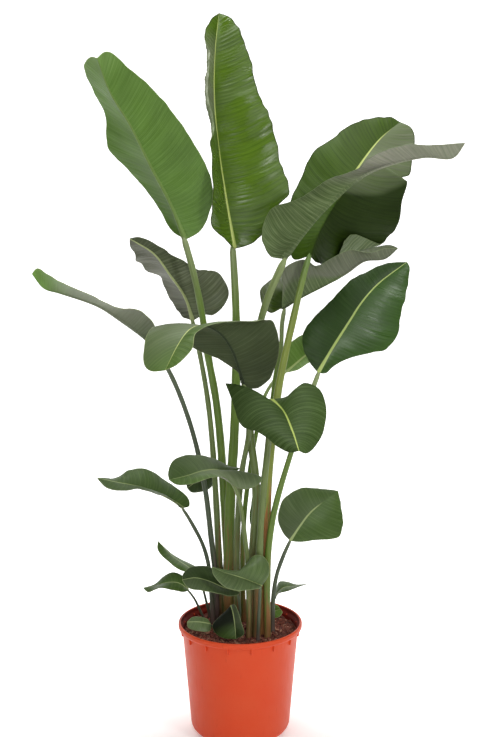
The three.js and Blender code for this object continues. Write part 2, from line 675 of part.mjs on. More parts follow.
place("pot", makePot(), POT_PLASTIC);
place("soil", makeSoil(Object.values(LEAVES).map(makeSocket)), SOIL_MIX);
for (const [name, leaf] of Object.entries(LEAVES)) {
  place(name, makeLeaf(leaf), LEAF_SKIN);
}

export default group;
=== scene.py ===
"""A potted bird of paradise: its looks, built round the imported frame.

The plant stands in an orange-red nursery pot filled with soil. Every leaf is a thin pleated
blade on a channelled stalk. Lengths in this script are millimetres until a mesh is made, and
+Z is up from the middle of the pot's underside, as in the frame.
"""

import functools
import logging
import math
import random
from collections.abc import Mapping, Sequence
from dataclasses import dataclass, field
from enum import Enum
from typing import Any

import bpy
import numpy as np
from mathutils import Euler, Matrix, Vector


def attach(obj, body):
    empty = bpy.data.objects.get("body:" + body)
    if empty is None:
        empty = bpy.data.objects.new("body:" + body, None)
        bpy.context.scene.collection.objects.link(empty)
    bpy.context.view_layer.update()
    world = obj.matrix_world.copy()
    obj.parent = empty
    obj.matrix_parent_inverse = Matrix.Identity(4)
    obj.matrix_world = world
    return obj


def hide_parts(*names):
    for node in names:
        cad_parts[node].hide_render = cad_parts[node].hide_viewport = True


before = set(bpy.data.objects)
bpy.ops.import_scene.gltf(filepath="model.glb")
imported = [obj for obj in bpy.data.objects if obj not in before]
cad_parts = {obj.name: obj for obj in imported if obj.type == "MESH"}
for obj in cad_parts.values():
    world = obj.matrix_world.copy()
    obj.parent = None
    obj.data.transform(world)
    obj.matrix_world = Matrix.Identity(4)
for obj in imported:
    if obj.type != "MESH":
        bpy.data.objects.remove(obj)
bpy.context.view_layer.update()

LOG = logging.getLogger("bird_of_paradise")
MM = 0.001
BODY = "root"
FULL_TURN = 2 * math.pi

# The picture that the leaves are drawn in: the eye, its pitch, and the middle of the frame
# in millimetres to the right of the pot's axis and above the ground.
EYE = np.array([16.0, -2000.0, 1000.0])
EYE_PITCH = math.radians(7.1)
MIDDLE = np.array([16.0, 737.0])

# The pot, as in the frame.
POT_HEIGHT = 228.0
RIM_RADIUS = 127.5
BODY_TOP_RADIUS = 119.3
BODY_FOOT_RADIUS = 102.5
FOOT_CORNER = 17.0
POT_WALL = 2.0
POT_FLOOR = 3.0
LIP_FOOT = 213.0

# The soil and the stalks that stand in it.
SOIL_LEVEL = 208.0
SOIL_GAP = 0.5
STALK_DEPTH = 34.0
STALK_BEND = 213.0
STALK_LEAD = 4.0
STALK_INTO_BLADE = 0.12

Array = np.ndarray
Points = Sequence[Sequence[float]]
Faces = list[list[int]]
Place = tuple[float, float, float]
Span = tuple[float, float, float, float]
Tree = bpy.types.NodeTree
Socket = bpy.types.NodeSocket
Material = bpy.types.Material
Piece = bpy.types.Object


# ------------------------------------------------------------------------ colours and nodes
def linear(hex_colour: str) -> tuple[float, float, float, float]:
    """Turns an sRGB hex colour into linear RGBA.

    Args:
        hex_colour: six hex digits after a hash.

    Returns:
        Linear red, green, blue and an alpha of one.
    """
    parts = [int(hex_colour[i : i + 2], 16) / 255 for i in (1, 3, 5)]
    red, green, blue = (
        p / 12.92 if p <= 0.04045 else ((p + 0.055) / 1.055) ** 2.4 for p in parts
    )
    return red, green, blue, 1.0


def add_node(
    tree: Tree,
    kind: str,
    inputs: Mapping[str | int, Any] | Sequence[Any] = (),
    output: str | int = 0,
    **settings: Any,
) -> Socket:
    """Adds a node with its settings, input values and links.

    Args:
        tree: the node tree that takes the node.
        kind: the node's type, without "ShaderNode".
        inputs: a value, or an output socket to link, for each input, in the node's order or
            by name or number. A MapRange reads a value, its two ends and the two ends that
            they become. A Mix of colours reads a share as 0 and the colours as 6 and 7.
        output: the name or number of the output to hand back, which is 2 for such a Mix.
        **settings: properties of the node.

    Returns:
        The output socket.
    """
    node = tree.nodes.new("ShaderNode" + kind)
    for name, value in settings.items():
        setattr(node, name, value)
    numbered = inputs if isinstance(inputs, Mapping) else dict(enumerate(inputs))
    for key, value in numbered.items():
        if isinstance(value, Socket):
            tree.links.new(value, node.inputs[key])
        else:
            node.inputs[key].default_value = value
    return node.outputs[output]


def grain(
    tree: Tree, place: Sequence[Any], size_mm: tuple[float, float], detail: float
) -> Socket:
    """Adds noise whose grains lie along a leaf's veins or a stalk's fibres.

    Args:
        tree: the material's tree.
        place: millimetres across and along the grain, and a number of the piece's own.
        size_mm: the size of a grain across and along.
        detail: how many finer layers it has.

    Returns:
        The noise, from 0 to 1.
    """
    scaled = [
        add_node(tree, "Math", [length, size], operation="DIVIDE")
        for length, size in zip(place, size_mm)
    ]
    spot = add_node(tree, "CombineXYZ", [*scaled, place[2]])
    return add_node(tree, "TexNoise", {"Vector": spot, "Scale": 1.0, "Detail": detail})


# --------------------------------------------------------------------------------- finishes
class Finish:
    """A finish that makes its own node material, with one Principled shader.

    A Span of a finish holds the two ends of a value and the two that they become. bump is
    how strongly its fine relief shows and bump_mm how high that is.
    """

    name: str
    bump: float
    bump_mm: float

    def inputs(self, tree: Tree) -> dict[str, Any]:
        """Gives the shader's values, and the sockets that are linked to it.

        Args:
            tree: the material's tree, which takes the nodes.

        Returns:
            A value or a socket for each named input, and for the relief's height.
        """
        raise NotImplementedError

    def build(self) -> Material:
        """Makes the material.

        Returns:
            The finished material.
        """
        material = bpy.data.materials.new(self.name)
        material.use_nodes = True
        tree = material.node_tree
        tree.nodes.clear()
        inputs = self.inputs(tree)
        relief = {
            "Strength": self.bump,
            "Distance": self.bump_mm * MM,
            "Height": inputs.pop("Height"),
        }
        inputs["Normal"] = add_node(tree, "Bump", relief)
        shader = add_node(tree, "BsdfPrincipled", inputs)
        tree.links.new(shader, tree.nodes.new("ShaderNodeOutputMaterial").inputs["Surface"])
        return material


@dataclass(frozen=True)
class LeafSkin(Finish):
    """The skin of a living leaf: a waxy clear cuticle over green tissue.

    The cuticle gives broad soft highlights, sharper where its wax is whole, the tissue shows
    paler side veins and a pale rib, and the margin is a thin line of its own colour.
    """

    name: str
    flesh: str
    vein: str
    rib: str
    margin: str = "#a9b57a"
    roughness: float = 0.32
    veining: float = 0.25
    vein_mm: float = 8.0
    fine_vein_mm: float = 2.6  # a real leaf has one about every 1.5 mm, too fine to show
    streak_mm: tuple[float, float] = (3.0, 90.0)
    mottle_mm: tuple[float, float] = (55.0, 88.0)
    patch_mm: tuple[float, float] = (16.0, 60.0)
    # the grey of the wax on the leaf, also laid on as painted sheen
    bloom_and_sheen: str = "#a09b93"
    margin_mm: float = 1.4
    wax_wear: float = 0.06
    shine: float = 0.34
    streak_light: Span = (0.35, 0.75, 0.0, 0.45)
    fine_veining: float = 0.3
    vein_strength: Span = (0.35, 0.65, 0.3, 1.7)
    vein_profile: tuple[float, float] = (0.05, 0.55)
    clouding: Span = (0.3, 0.7, 0.86, 1.14)
    bloom_and_sheen_streaks: Span = (0.3, 0.7, 0.75, 1.2)
    rib_end: Span = (0.75, 1.25, 1.0, 0.0)
    margin_share: tuple[float, float] = (0.3, 0.75)  # of its width, where it shows by so much
    streak_gloss: tuple[float, float] = (0.3, 0.7)
    smoother: float = 0.06
    rougher: float = 0.1
    painted_shade_dullness: Span = (0.1, 1.0, 0.22, 0.0)
    wear_patches: tuple[float, float] = (0.4, 0.58)
    wear_gain: float = 0.3
    streak_height: float = 0.6
    ior: float = 1.45
    bump: float = 0.35
    bump_mm: float = 0.25

    def inputs(self, tree: Tree) -> dict[str, Any]:
        """Dresses a blade by its own attributes.

        Args:
            tree: the material's tree, which takes the nodes.

        Returns:
            A value or a socket for each named input, and for the relief's height.
        """
        (across, along, edge), (rib, rib_seen, leaf), (tone, bloom_and_sheen, _) = (
            add_node(
                tree, "SeparateXYZ",
                [add_node(tree, "Attribute", output="Vector", attribute_name=name)],
            ).node.outputs
            for name in ("leaf_place", "leaf_look", "leaf_painted_light_and_bloom")
        )
        place = (across, along, leaf)
        streak = grain(tree, place, self.streak_mm, 3.0)
        mottle = grain(tree, place, self.mottle_mm, 2.0)
        patch = grain(tree, place, self.patch_mm, 2.0)
        fine_vein = self._vein_line(tree, across, self.fine_vein_mm)
        vein = self._vein_line(tree, across, self.vein_mm)

        # Pale streaks, fine veins and broader veins that come and go lighten the tissue.
        veined = add_node(tree, "MapRange", [streak, *self.streak_light])
        veined = add_node(
            tree, "Math", [fine_vein, self.fine_veining, veined], operation="MULTIPLY_ADD"
        )
        strength = add_node(tree, "MapRange", [patch, *self.vein_strength])
        vein = add_node(tree, "Math", [vein, strength], operation="MULTIPLY")
        veined = add_node(
            tree, "Math", [vein, self.veining, veined], operation="MULTIPLY_ADD", use_clamp=True
        )
        colour = add_node(
            tree, "Mix", {0: veined, 6: linear(self.flesh), 7: linear(self.vein)}, 2,
            data_type="RGBA",
        )
        # Broad clouds darken and lighten it, and so do the light and shade painted along each half.
        cloud = add_node(tree, "MapRange", [mottle, *self.clouding])
        for shade in (cloud, tone):
            colour = add_node(
                tree, "Mix", {0: 1.0, 6: colour, 7: shade}, 2,
                data_type="RGBA", blend_type="MULTIPLY",
            )
        # The grey of wax, which also stands for painted sheen, the rib and the margin's line lie over it.
        bloom_and_sheen_share = add_node(tree, "MapRange", [streak, *self.bloom_and_sheen_streaks])
        bloom_and_sheen_share = add_node(tree, "Math", [bloom_and_sheen, bloom_and_sheen_share], operation="MULTIPLY", use_clamp=True)
        on_rib = add_node(
            tree, "MapRange", [rib, *self.rib_end], interpolation_type="SMOOTHSTEP"
        )
        on_rib = add_node(tree, "Math", [on_rib, rib_seen], operation="MULTIPLY")
        full, most = self.margin_share
        on_edge = add_node(
            tree, "MapRange", [edge, full * self.margin_mm, self.margin_mm, most, 0.0]
        )
        for share, over in ((bloom_and_sheen_share, self.bloom_and_sheen), (on_rib, self.rib), (on_edge, self.margin)):
            colour = add_node(
                tree, "Mix", {0: share, 6: colour, 7: linear(over)}, 2, data_type="RGBA"
            )

        # Where shade is painted on the tissue, and where its wax is worn, it is rougher than the rest.
        least, most = self.roughness - self.smoother, self.roughness + self.rougher
        gloss = add_node(tree, "MapRange", [streak, *self.streak_gloss, least, most])
        dull = add_node(tree, "MapRange", [tone, *self.painted_shade_dullness])
        whole = -self.wear_gain * self.wax_wear
        worn = add_node(tree, "MapRange", [mottle, *self.wear_patches, self.wax_wear, whole])
        for more in (dull, worn):
            gloss = add_node(tree, "Math", [gloss, more], operation="ADD")
        height = add_node(
            tree, "Math", [streak, self.streak_height, fine_vein], operation="MULTIPLY_ADD"
        )
        return {
            "Base Color": colour,
            "Roughness": gloss,
            "IOR": self.ior,
            "Specular IOR Level": self.shine,
            "Height": height,
        }

    def _vein_line(self, tree: Tree, across: Socket, spacing_mm: float) -> Socket:
        """Adds parallel side veins.

        Args:
            tree: the material's tree.
            across: millimetres across the veins.
            spacing_mm: from one vein to the next.

        Returns:
            A value of 1 on a vein and 0 between veins.
        """
        half = spacing_mm / 2
        crest, foot = self.vein_profile
        fold = add_node(tree, "Math", [across, half], operation="PINGPONG")
        return add_node(
            tree, "MapRange", [fold, crest * half, foot * half, 1.0, 0.0],
            interpolation_type="SMOOTHSTEP",
        )


@dataclass(frozen=True)
class StalkRind(Finish):
    """The rind of a leaf stalk: smooth, waxy and ribbed lengthwise by its fibres.

    It is palest under the blade and turns olive and brown at the foot, where the old
    sheath dries.
    """

    name: str
    top: str
    middle: str
    foot: str
    dry: str
    dryness: float = 0.5
    roughness: float = 0.42
    fibre_mm: tuple[float, float] = (1.3, 70.0)
    patch_mm: tuple[float, float] = (6.0, 120.0)
    middle_part: tuple[float, float] = (0.3, 0.8)  # shares of the stalk's length
    dry_up_to: float = 0.62
    dry_above: float = -0.15
    dry_patches: tuple[float, float] = (0.62, 0.85)
    dry_roughness: float = 0.75
    fibre_light: Span = (0.3, 0.7, 0.8, 1.18)
    ior: float = 1.45
    bump: float = 0.4
    bump_mm: float = 0.3

    def inputs(self, tree: Tree) -> dict[str, Any]:
        """Dresses a stalk by its own attribute.

        Args:
            tree: the material's tree, which takes the nodes.

        Returns:
            A value or a socket for each named input, and for the relief's height.
        """
        place = add_node(tree, "Attribute", output="Vector", attribute_name="stalk_place")
        around, along, share = add_node(tree, "SeparateXYZ", [place]).node.outputs
        fibre = grain(tree, (around, along, 0.0), self.fibre_mm, 3.0)
        patch = grain(tree, (around, along, 0.0), self.patch_mm, 3.0)

        colour = add_node(tree, "ValToRGB", [share])
        stops = colour.node.color_ramp.elements
        stops[0].color = linear(self.foot)
        stops[1].color = linear(self.top)
        for height in self.middle_part:
            stops.new(height).color = linear(self.middle)
        # Dry brown patches, more of them the nearer they are to the foot.
        low = add_node(
            tree, "MapRange", [share, 0.0, self.dry_up_to, self.dryness, self.dry_above]
        )
        dried = add_node(tree, "Math", [patch, low], operation="ADD")
        dried = add_node(
            tree, "MapRange", [dried, *self.dry_patches], interpolation_type="SMOOTHSTEP"
        )
        colour = add_node(
            tree, "Mix", {0: dried, 6: colour, 7: linear(self.dry)}, 2, data_type="RGBA"
        )
        shade = add_node(tree, "MapRange", [fibre, *self.fibre_light])
        colour = add_node(
            tree, "Mix", {0: 1.0, 6: colour, 7: shade}, 2,
            data_type="RGBA", blend_type="MULTIPLY",
        )
        return {
            "Base Color": colour,
            "Roughness": add_node(
                tree, "MapRange", {0: dried, 3: self.roughness, 4: self.dry_roughness}
            ),
            "IOR": self.ior,
            "Height": fibre,
        }


@dataclass(frozen=True)
class NurseryPlastic(Finish):
    """Injection-moulded polypropylene, as nursery pots are.

    It is evenly coloured with a soft broad sheen, a faint grain from the mould, a little
    dust where hands leave it, and painted shade that darkens it towards the ground.
    """

    name: str = "moulded polypropylene, orange-red"
    colour: str = "#d9481f"
    faded: str = "#da542c"
    dirt_and_shade_colour: str = "#8a3322"
    roughness: float = 0.38
    cloud_mm: float = 60.0
    grain_mm: float = 0.8
    scuff_mm: tuple[float, float, float] = (4.0, 4.0, 26.0)
    ground_shade_mm: float = 45.0  # how far up the painted shade from the ground reaches
    ground_shade: float = 0.16
    fading: Span = (0.35, 0.7, 0.0, 0.45)
    dirt_and_shade_range: Span = (0.66, 0.85, 0.0, 0.4)
    scuffing: tuple[float, float] = (0.3, 0.75)
    rougher: float = 0.16
    ior: float = 1.49
    shine: float = 0.28
    bump: float = 0.12
    bump_mm: float = 0.2

    def inputs(self, tree: Tree) -> dict[str, Any]:
        """Dresses the piece by its object coordinates.

        Args:
            tree: the material's tree, which takes the nodes.

        Returns:
            A value or a socket for each named input, and for the relief's height.
        """
        spot = add_node(tree, "TexCoord", output="Object")
        cloud, mould_grain = (
            add_node(tree, "TexNoise", {"Vector": spot, "Scale": 1 / (size * MM), "Detail": detail})
            for size, detail in ((self.cloud_mm, 3.0), (self.grain_mm, 2.0))
        )
        stretched = add_node(
            tree, "Mapping", {"Vector": spot, "Scale": [1 / (size * MM) for size in self.scuff_mm]}
        )
        scuff = add_node(tree, "TexNoise", {"Vector": stretched, "Scale": 1.0, "Detail": 4.0})
        height = add_node(tree, "SeparateXYZ", [spot], "Z")

        # Faded clouds, dirt in the scuffs, and painted shade near the ground.
        faded = add_node(tree, "MapRange", [cloud, *self.fading])
        ground_shade_share = add_node(
            tree, "MapRange", [height, 0.0, self.ground_shade_mm * MM, self.ground_shade, 0.0]
        )
        dirt_and_shade = add_node(tree, "Math", [scuff, ground_shade_share], operation="ADD")
        dirt_and_shade = add_node(tree, "MapRange", [dirt_and_shade, *self.dirt_and_shade_range])
        colour = linear(self.colour)
        for share, over in ((faded, self.faded), (dirt_and_shade, self.dirt_and_shade_colour)):
            colour = add_node(
                tree, "Mix", {0: share, 6: colour, 7: linear(over)}, 2, data_type="RGBA"
            )
        return {
            "Base Color": colour,
            "Roughness": add_node(
                tree, "MapRange",
                [scuff, *self.scuffing, self.roughness, self.roughness + self.rougher],
            ),
            "IOR": self.ior,
            "Specular IOR Level": self.shine,
            "Height": mould_grain,
        }


@dataclass(frozen=True)
class SoilMix(Finish):
    """Potting mix of peat, bark and wood fibre: dull, crumbly and unevenly damp."""

    name: str
    dark: str
    light: str
    grit_mm: float = 2.2
    damp_mm: float = 38.0
    roughness: float = 0.92
    grit_light: Span = (0.38, 0.68, 0.0, 1.0)
    dampness: Span = (0.3, 0.7, 0.65, 1.2)
    bump: float = 0.8
    bump_mm: float = 0.6

    def inputs(self, tree: Tree) -> dict[str, Any]:
        """Dresses the piece by its object coordinates.

        Args:
            tree: the material's tree, which takes the nodes.

        Returns:
            A value or a socket for each named input, and for the relief's height.
        """
        spot = add_node(tree, "TexCoord", output="Object")
        grit, damp = (
            add_node(tree, "TexNoise", {"Vector": spot, "Scale": 1 / (size * MM), "Detail": detail})
            for size, detail in ((self.grit_mm, 5.0), (self.damp_mm, 2.0))
        )
        tone = add_node(tree, "MapRange", [grit, *self.grit_light])
        colour = add_node(
            tree, "Mix", {0: tone, 6: linear(self.dark), 7: linear(self.light)}, 2,
            data_type="RGBA",
        )
        shade = add_node(tree, "MapRange", [damp, *self.dampness])
        colour = add_node(
            tree, "Mix", {0: 1.0, 6: colour, 7: shade}, 2,
            data_type="RGBA", blend_type="MULTIPLY",
        )
        return {
            "Base Color": colour,
            "Roughness": self.roughness,
            "Height": grit,
        }


@dataclass(frozen=True)
class StudioPaper(Finish):
    """White seamless background paper, matt and evenly lit."""

    name: str = "white seamless paper, matt"
    colour: str = "#f7f7f6"
    glow: float = 0.95
    glow_reach: tuple[float, float] = (-0.25, 0.35)  # metres away, where its own lights start
    fibre_mm: float = 3.0
    roughness: float = 0.9
    bump: float = 0.05
    bump_mm: float = 0.1

    def inputs(self, tree: Tree) -> dict[str, Any]:
        """Dresses the piece by its object coordinates.

        Args:
            tree: the material's tree, which takes the nodes.

        Returns:
            A value or a socket for each named input, and for the relief's height.
        """
        spot = add_node(tree, "TexCoord", output="Object")
        fibre = add_node(tree, "TexNoise", {"Vector": spot, "Scale": 1 / (self.fibre_mm * MM)})
        away = add_node(tree, "SeparateXYZ", [spot], "Y")
        return {
            "Base Color": linear(self.colour),
            "Roughness": self.roughness,
            "Emission Color": linear(self.colour),
            "Emission Strength": add_node(
                tree, "MapRange", [away, *self.glow_reach, 0.0, self.glow],
                interpolation_type="SMOOTHSTEP",
            ),
            "Height": fibre,
        }


class Skin(Enum):
    """The leaf skins of this plant, upper sides first and undersides after them."""

    DEEP = LeafSkin("grown leaf, upper side", "#506b1a", "#3a5410", "#b4c070",
                    margin="#28360f", margin_mm=3.6, roughness=0.2, veining=0.35, wax_wear=0.18,
                    shine=0.4)
    BROAD = LeafSkin("broad leaf, upper side", "#4c6a18", "#3a5410", "#b4c070",
                     margin="#28360f", margin_mm=3.6, roughness=0.36, veining=0.35, shine=0.16)
    GLOSSY = LeafSkin("glossy leaf, upper side", "#33521a", "#47682c", "#a6b868",
                      margin="#566a38", roughness=0.27, veining=0.2)
    FRESH = LeafSkin("younger leaf, upper side", "#4f6e2a", "#6c883f", "#b5c078")
    VEINED = LeafSkin("grown leaf with pale veins, upper side", "#3a521c", "#5c7440", "#a9b862",
                      margin="#4c5c34", roughness=0.48, veining=0.35, shine=0.2)
    # A darker skin for the lower leaves: painted shade.
    SHADED = LeafSkin("lower leaf, upper side", "#3d561e", "#587038", "#96a46c",
                      margin="#8c9a66", roughness=0.4)
    YOUNG = LeafSkin("new leaf, upper side", "#638538", "#7a9a4e", "#aebf7c")
    BACK = LeafSkin("grown leaf, underside", "#4d6034", "#748458", "#8b9c58",
                    margin="#6a7850", roughness=0.42, veining=0.45)
    PALE_BACK = LeafSkin("pale leaf, underside", "#517226", "#668a3c", "#6a8440",
                         margin="#98a474", roughness=0.4)
    DARK_BACK = LeafSkin("old leaf, underside", "#434c30", "#646c50", "#a3ad78",
                         margin="#5a6144", roughness=0.42, veining=0.45)
    # Its dark rib is painted shade.
    SHADE_BACK = LeafSkin("old leaf, underside with dark rib", "#364220", "#4a5535", "#27331a",
                          margin="#6d7850", roughness=0.42, veining=0.35)


class Rind(Enum):
    """The stalk rinds of this plant."""

    FRESH = StalkRind("stalk, fresh green", "#8a9768", "#627b2e", "#5f6c2c", "#8a6238", 0.3)
    WARM = StalkRind("stalk, yellowed by light", "#6f8a4a", "#7d8a3e", "#a0803c", "#a8713f", 0.66)
    OLIVE = StalkRind("stalk, olive", "#84925e", "#6a7a44", "#646633", "#80603b", 0.32)
    DARK = StalkRind("stalk, thin and dark", "#5f6a4e", "#4a5540", "#504e40", "#62504a", 0.3)


# ----------------------------------------------------------------------------------- curves
def seen(points: Points | Array) -> Array:
    """Finds the places that are seen at points of the picture.

    Args:
        points: rows of millimetres to the right, millimetres up, and the distance behind
            the upright plane through the pot's axis.

    Returns:
        Rows of x, y and z in millimetres.
    """
    right, up, away = np.asarray(points, float).reshape(-1, 3).T
    reach = -EYE[1] / math.cos(EYE_PITCH)
    sine, cosine = math.sin(EYE_PITCH), math.cos(EYE_PITCH)
    ray = np.stack(
        [
            right - MIDDLE[0],
            (up - MIDDLE[1]) * sine + reach * cosine,
            (up - MIDDLE[1]) * cosine - reach * sine,
        ],
        axis=-1,
    )
    return EYE + ray * ((away - EYE[1]) / ray[:, 1])[:, None]


def unit(vectors: Array) -> Array:
    """Gives vectors along the last axis a length of one."""
    return vectors / np.maximum(np.linalg.norm(vectors, axis=-1, keepdims=True), 1e-9)


def smoothstep(low: float, high: float, value: Array | float) -> Array:
    """Rises smoothly from 0, where the value is low, to 1, where it is high."""
    share = np.clip((np.asarray(value, float) - low) / (high - low), 0, 1)
    return share * share * (3 - 2 * share)


class SmoothCurve:
    """A centripetal curve through points, read by its length."""

    SAMPLES = 48
    LOOK_AHEAD = 0.004

    def __init__(self, points: Points | Array) -> None:
        """Samples the curve.

        Args:
            points: the points that it passes through.
        """
        knots = np.asarray(points, float)
        knots = np.vstack([2 * knots[0] - knots[1], knots, 2 * knots[-1] - knots[-2]])
        spans = np.linalg.norm(np.diff(knots, axis=0), axis=1) ** 0.5
        step = np.linspace(0, 1, self.SAMPLES, endpoint=False)[:, None]
        made = []
        for i in range(1, len(knots) - 2):
            before, start, end, after = knots[i - 1 : i + 3]
            d0, d1, d2 = spans[i - 1 : i + 2]
            leave = (start - before) / d0 - (end - before) / (d0 + d1) + (end - start) / d1
            arrive = (end - start) / d1 - (after - start) / (d1 + d2) + (after - end) / d2
            leave, arrive = leave * d1, arrive * d1
            square = -3 * start + 3 * end - 2 * leave - arrive
            cube = 2 * start - 2 * end + leave + arrive
            made.append(start + leave * step + square * step**2 + cube * step**3)
        self.points = np.vstack([*made, knots[-2]])
        run = np.linalg.norm(np.diff(self.points, axis=0), axis=1)
        self.run = np.concatenate([[0], np.cumsum(run)])
        self.length = float(self.run[-1])

    def at(self, share: Array) -> Array:
        """Reads the places at shares of the curve's length, one a row."""
        place = np.asarray(share) * self.length
        return np.stack([np.interp(place, self.run, axis) for axis in self.points.T], axis=-1)

    def ahead(self, share: Array) -> Array:
        """Reads the directions at shares of the curve's length, one unit vector a row."""
        start, end = np.maximum(share - self.LOOK_AHEAD, 0), np.minimum(share + self.LOOK_AHEAD, 1)
        return unit(self.at(end) - self.at(start))


class Ripple:
    """Smooth seeded unevenness in one or two directions, from about -1 to 1."""

    SPREAD = (0.6, 1.7)
    CREST = 1.6

    def __init__(self, rng: random.Random, size_mm: float, waves: int = 6) -> None:
        """Draws the waves.

        Args:
            rng: the random numbers.
            size_mm: the length of a typical wave.
            waves: how many waves are summed.
        """
        self.waves = [
            (
                rng.uniform(0, FULL_TURN),
                FULL_TURN / (size_mm * rng.uniform(*self.SPREAD)),
                rng.uniform(0, FULL_TURN),
            )
            for _ in range(waves)
        ]

    def at(self, first: Array | float, second: Array | float = 0.0) -> Array:
        """Reads the unevenness.

        Args:
            first: millimetres in the first direction.
            second: millimetres in the second direction.

        Returns:
            The heights.
        """
        total = sum(
            np.sin(rate * (first * math.cos(turn) + second * math.sin(turn)) + phase)
            for turn, rate, phase in self.waves
        )
        return total / math.sqrt(len(self.waves) / 2) / self.CREST


# ----------------------------------------------------------------------------------- meshes
def finish_piece(piece: Piece, slot: str, *nodes: str) -> None:
    """Puts a piece on the plant's body and hides the frame's nodes that it stands for.

    Args:
        piece: the new object.
        slot: the record's material slot; not used.
        *nodes: the frame's nodes that it stands for.
    """
    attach(piece, BODY)
    if nodes:
        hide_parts(*nodes)
    LOG.info("%s: %d faces", piece.name, len(piece.data.polygons))


def make_object(
    name: str,
    points_mm: Array,
    faces: Faces,
    materials: Sequence[Material],
    face_material: Sequence[int] = (),
    attributes: Mapping[str, Array] | None = None,
) -> Piece:
    """Makes a smooth mesh object.

    Args:
        name: the piece's name.
        points_mm: its points in millimetres.
        faces: its faces, as rows of point numbers.
        materials: its materials.
        face_material: the number of each face's material, or nothing for the first.
        attributes: vectors at the points, by name.

    Returns:
        The new object, linked to the scene.
    """
    mesh = bpy.data.meshes.new(name)
    mesh.from_pydata((np.asarray(points_mm) * MM).tolist(), [], faces)
    for material in materials:
        mesh.materials.append(material)
    if face_material:
        mesh.polygons.foreach_set("material_index", np.array(face_material, np.int32))
    mesh.polygons.foreach_set("use_smooth", np.ones(len(mesh.polygons), bool))
    for label, values in (attributes or {}).items():
        layer = mesh.attributes.new(label, "FLOAT_VECTOR", "POINT")
        layer.data.foreach_set("vector", np.asarray(values, np.float32).ravel())
    mesh.update()
    made = bpy.data.objects.new(name, mesh)
    bpy.context.scene.collection.objects.link(made)
    return made


def grid_faces(rows: int, columns: int, closed: bool = False, start: int = 0) -> Faces:
    """Numbers the faces of a grid of points.

    Args:
        rows: how many rows of points it has.
        columns: how many points a row has.
        closed: whether each row closes into a ring.
        start: the number of the first point.

    Returns:
        Four point numbers a face.
    """
    across = columns if closed else columns - 1
    i, j = np.meshgrid(np.arange(rows - 1), np.arange(across), indexing="ij")
    a = start + i * columns + j
    b = start + i * columns + (j + 1) % columns
    return np.stack([a, b, b + columns, a + columns], axis=-1).reshape(-1, 4).tolist()


def cap_faces(low: int, high: int, first: int, last: int, sides: int) -> Faces:
    """Closes the two ends of a stack of rings, each with a fan about a middle point.

    Args:
        low: the middle point at the first ring.
        high: the middle point at the last ring.
        first: the first point of the first ring.
        last: the first point of the last ring.
        sides: how many points a ring has.

    Returns:
        The fans' faces, one of each end in turn.
    """
    faces = []
    for k in range(sides):
        on = (k + 1) % sides
        faces += [[low, first + on, first + k], [high, last + k, last + on]]
    return faces


def around(count: int, offset: float = 0.0) -> Array:
    """Gives evenly spaced angles of a full turn, moved on by a share of a step."""
    return (np.arange(count) + offset) / count * FULL_TURN


def rounded(corners: Sequence[Place], steps: int = 6) -> Array:
    """Rounds the corners of an open outline.

    Args:
        corners: rows of x, y and the corner's radius.
        steps: how many stretches a rounded corner has.

    Returns:
        The outline's points.
    """
    made: list[Array] = []
    for i, (x, y, radius) in enumerate(corners):
        corner = np.array([x, y])
        if radius == 0 or i in (0, len(corners) - 1):
            made.append(corner)
            continue
        back = unit(np.array(corners[i - 1][:2]) - corner)
        on = unit(np.array(corners[i + 1][:2]) - corner)
        half = math.acos(float(np.clip(back @ on, -1, 1))) / 2
        reach = radius / math.tan(half)
        centre = corner + unit(back + on) * radius / math.sin(half)
        first = corner + back * reach - centre
        last = corner + on * reach - centre
        for k in range(steps + 1):
            bend = first * (1 - k / steps) + last * (k / steps)
            made.append(centre + unit(bend) * radius)
    return np.array(made)


def turned_points(profile: Points | Array, sides: int) -> Array:
    """Turns a profile about the upright axis.

    Args:
        profile: rows of radius and height.
        sides: how many points a ring has.

    Returns:
        The rings' points, ring after ring.
    """
    turn = around(sides)
    radius, height = np.asarray(profile, float).T[..., None]
    return np.stack(
        [radius * np.cos(turn), radius * np.sin(turn), height + 0 * turn], axis=-1
    ).reshape(-1, 3)


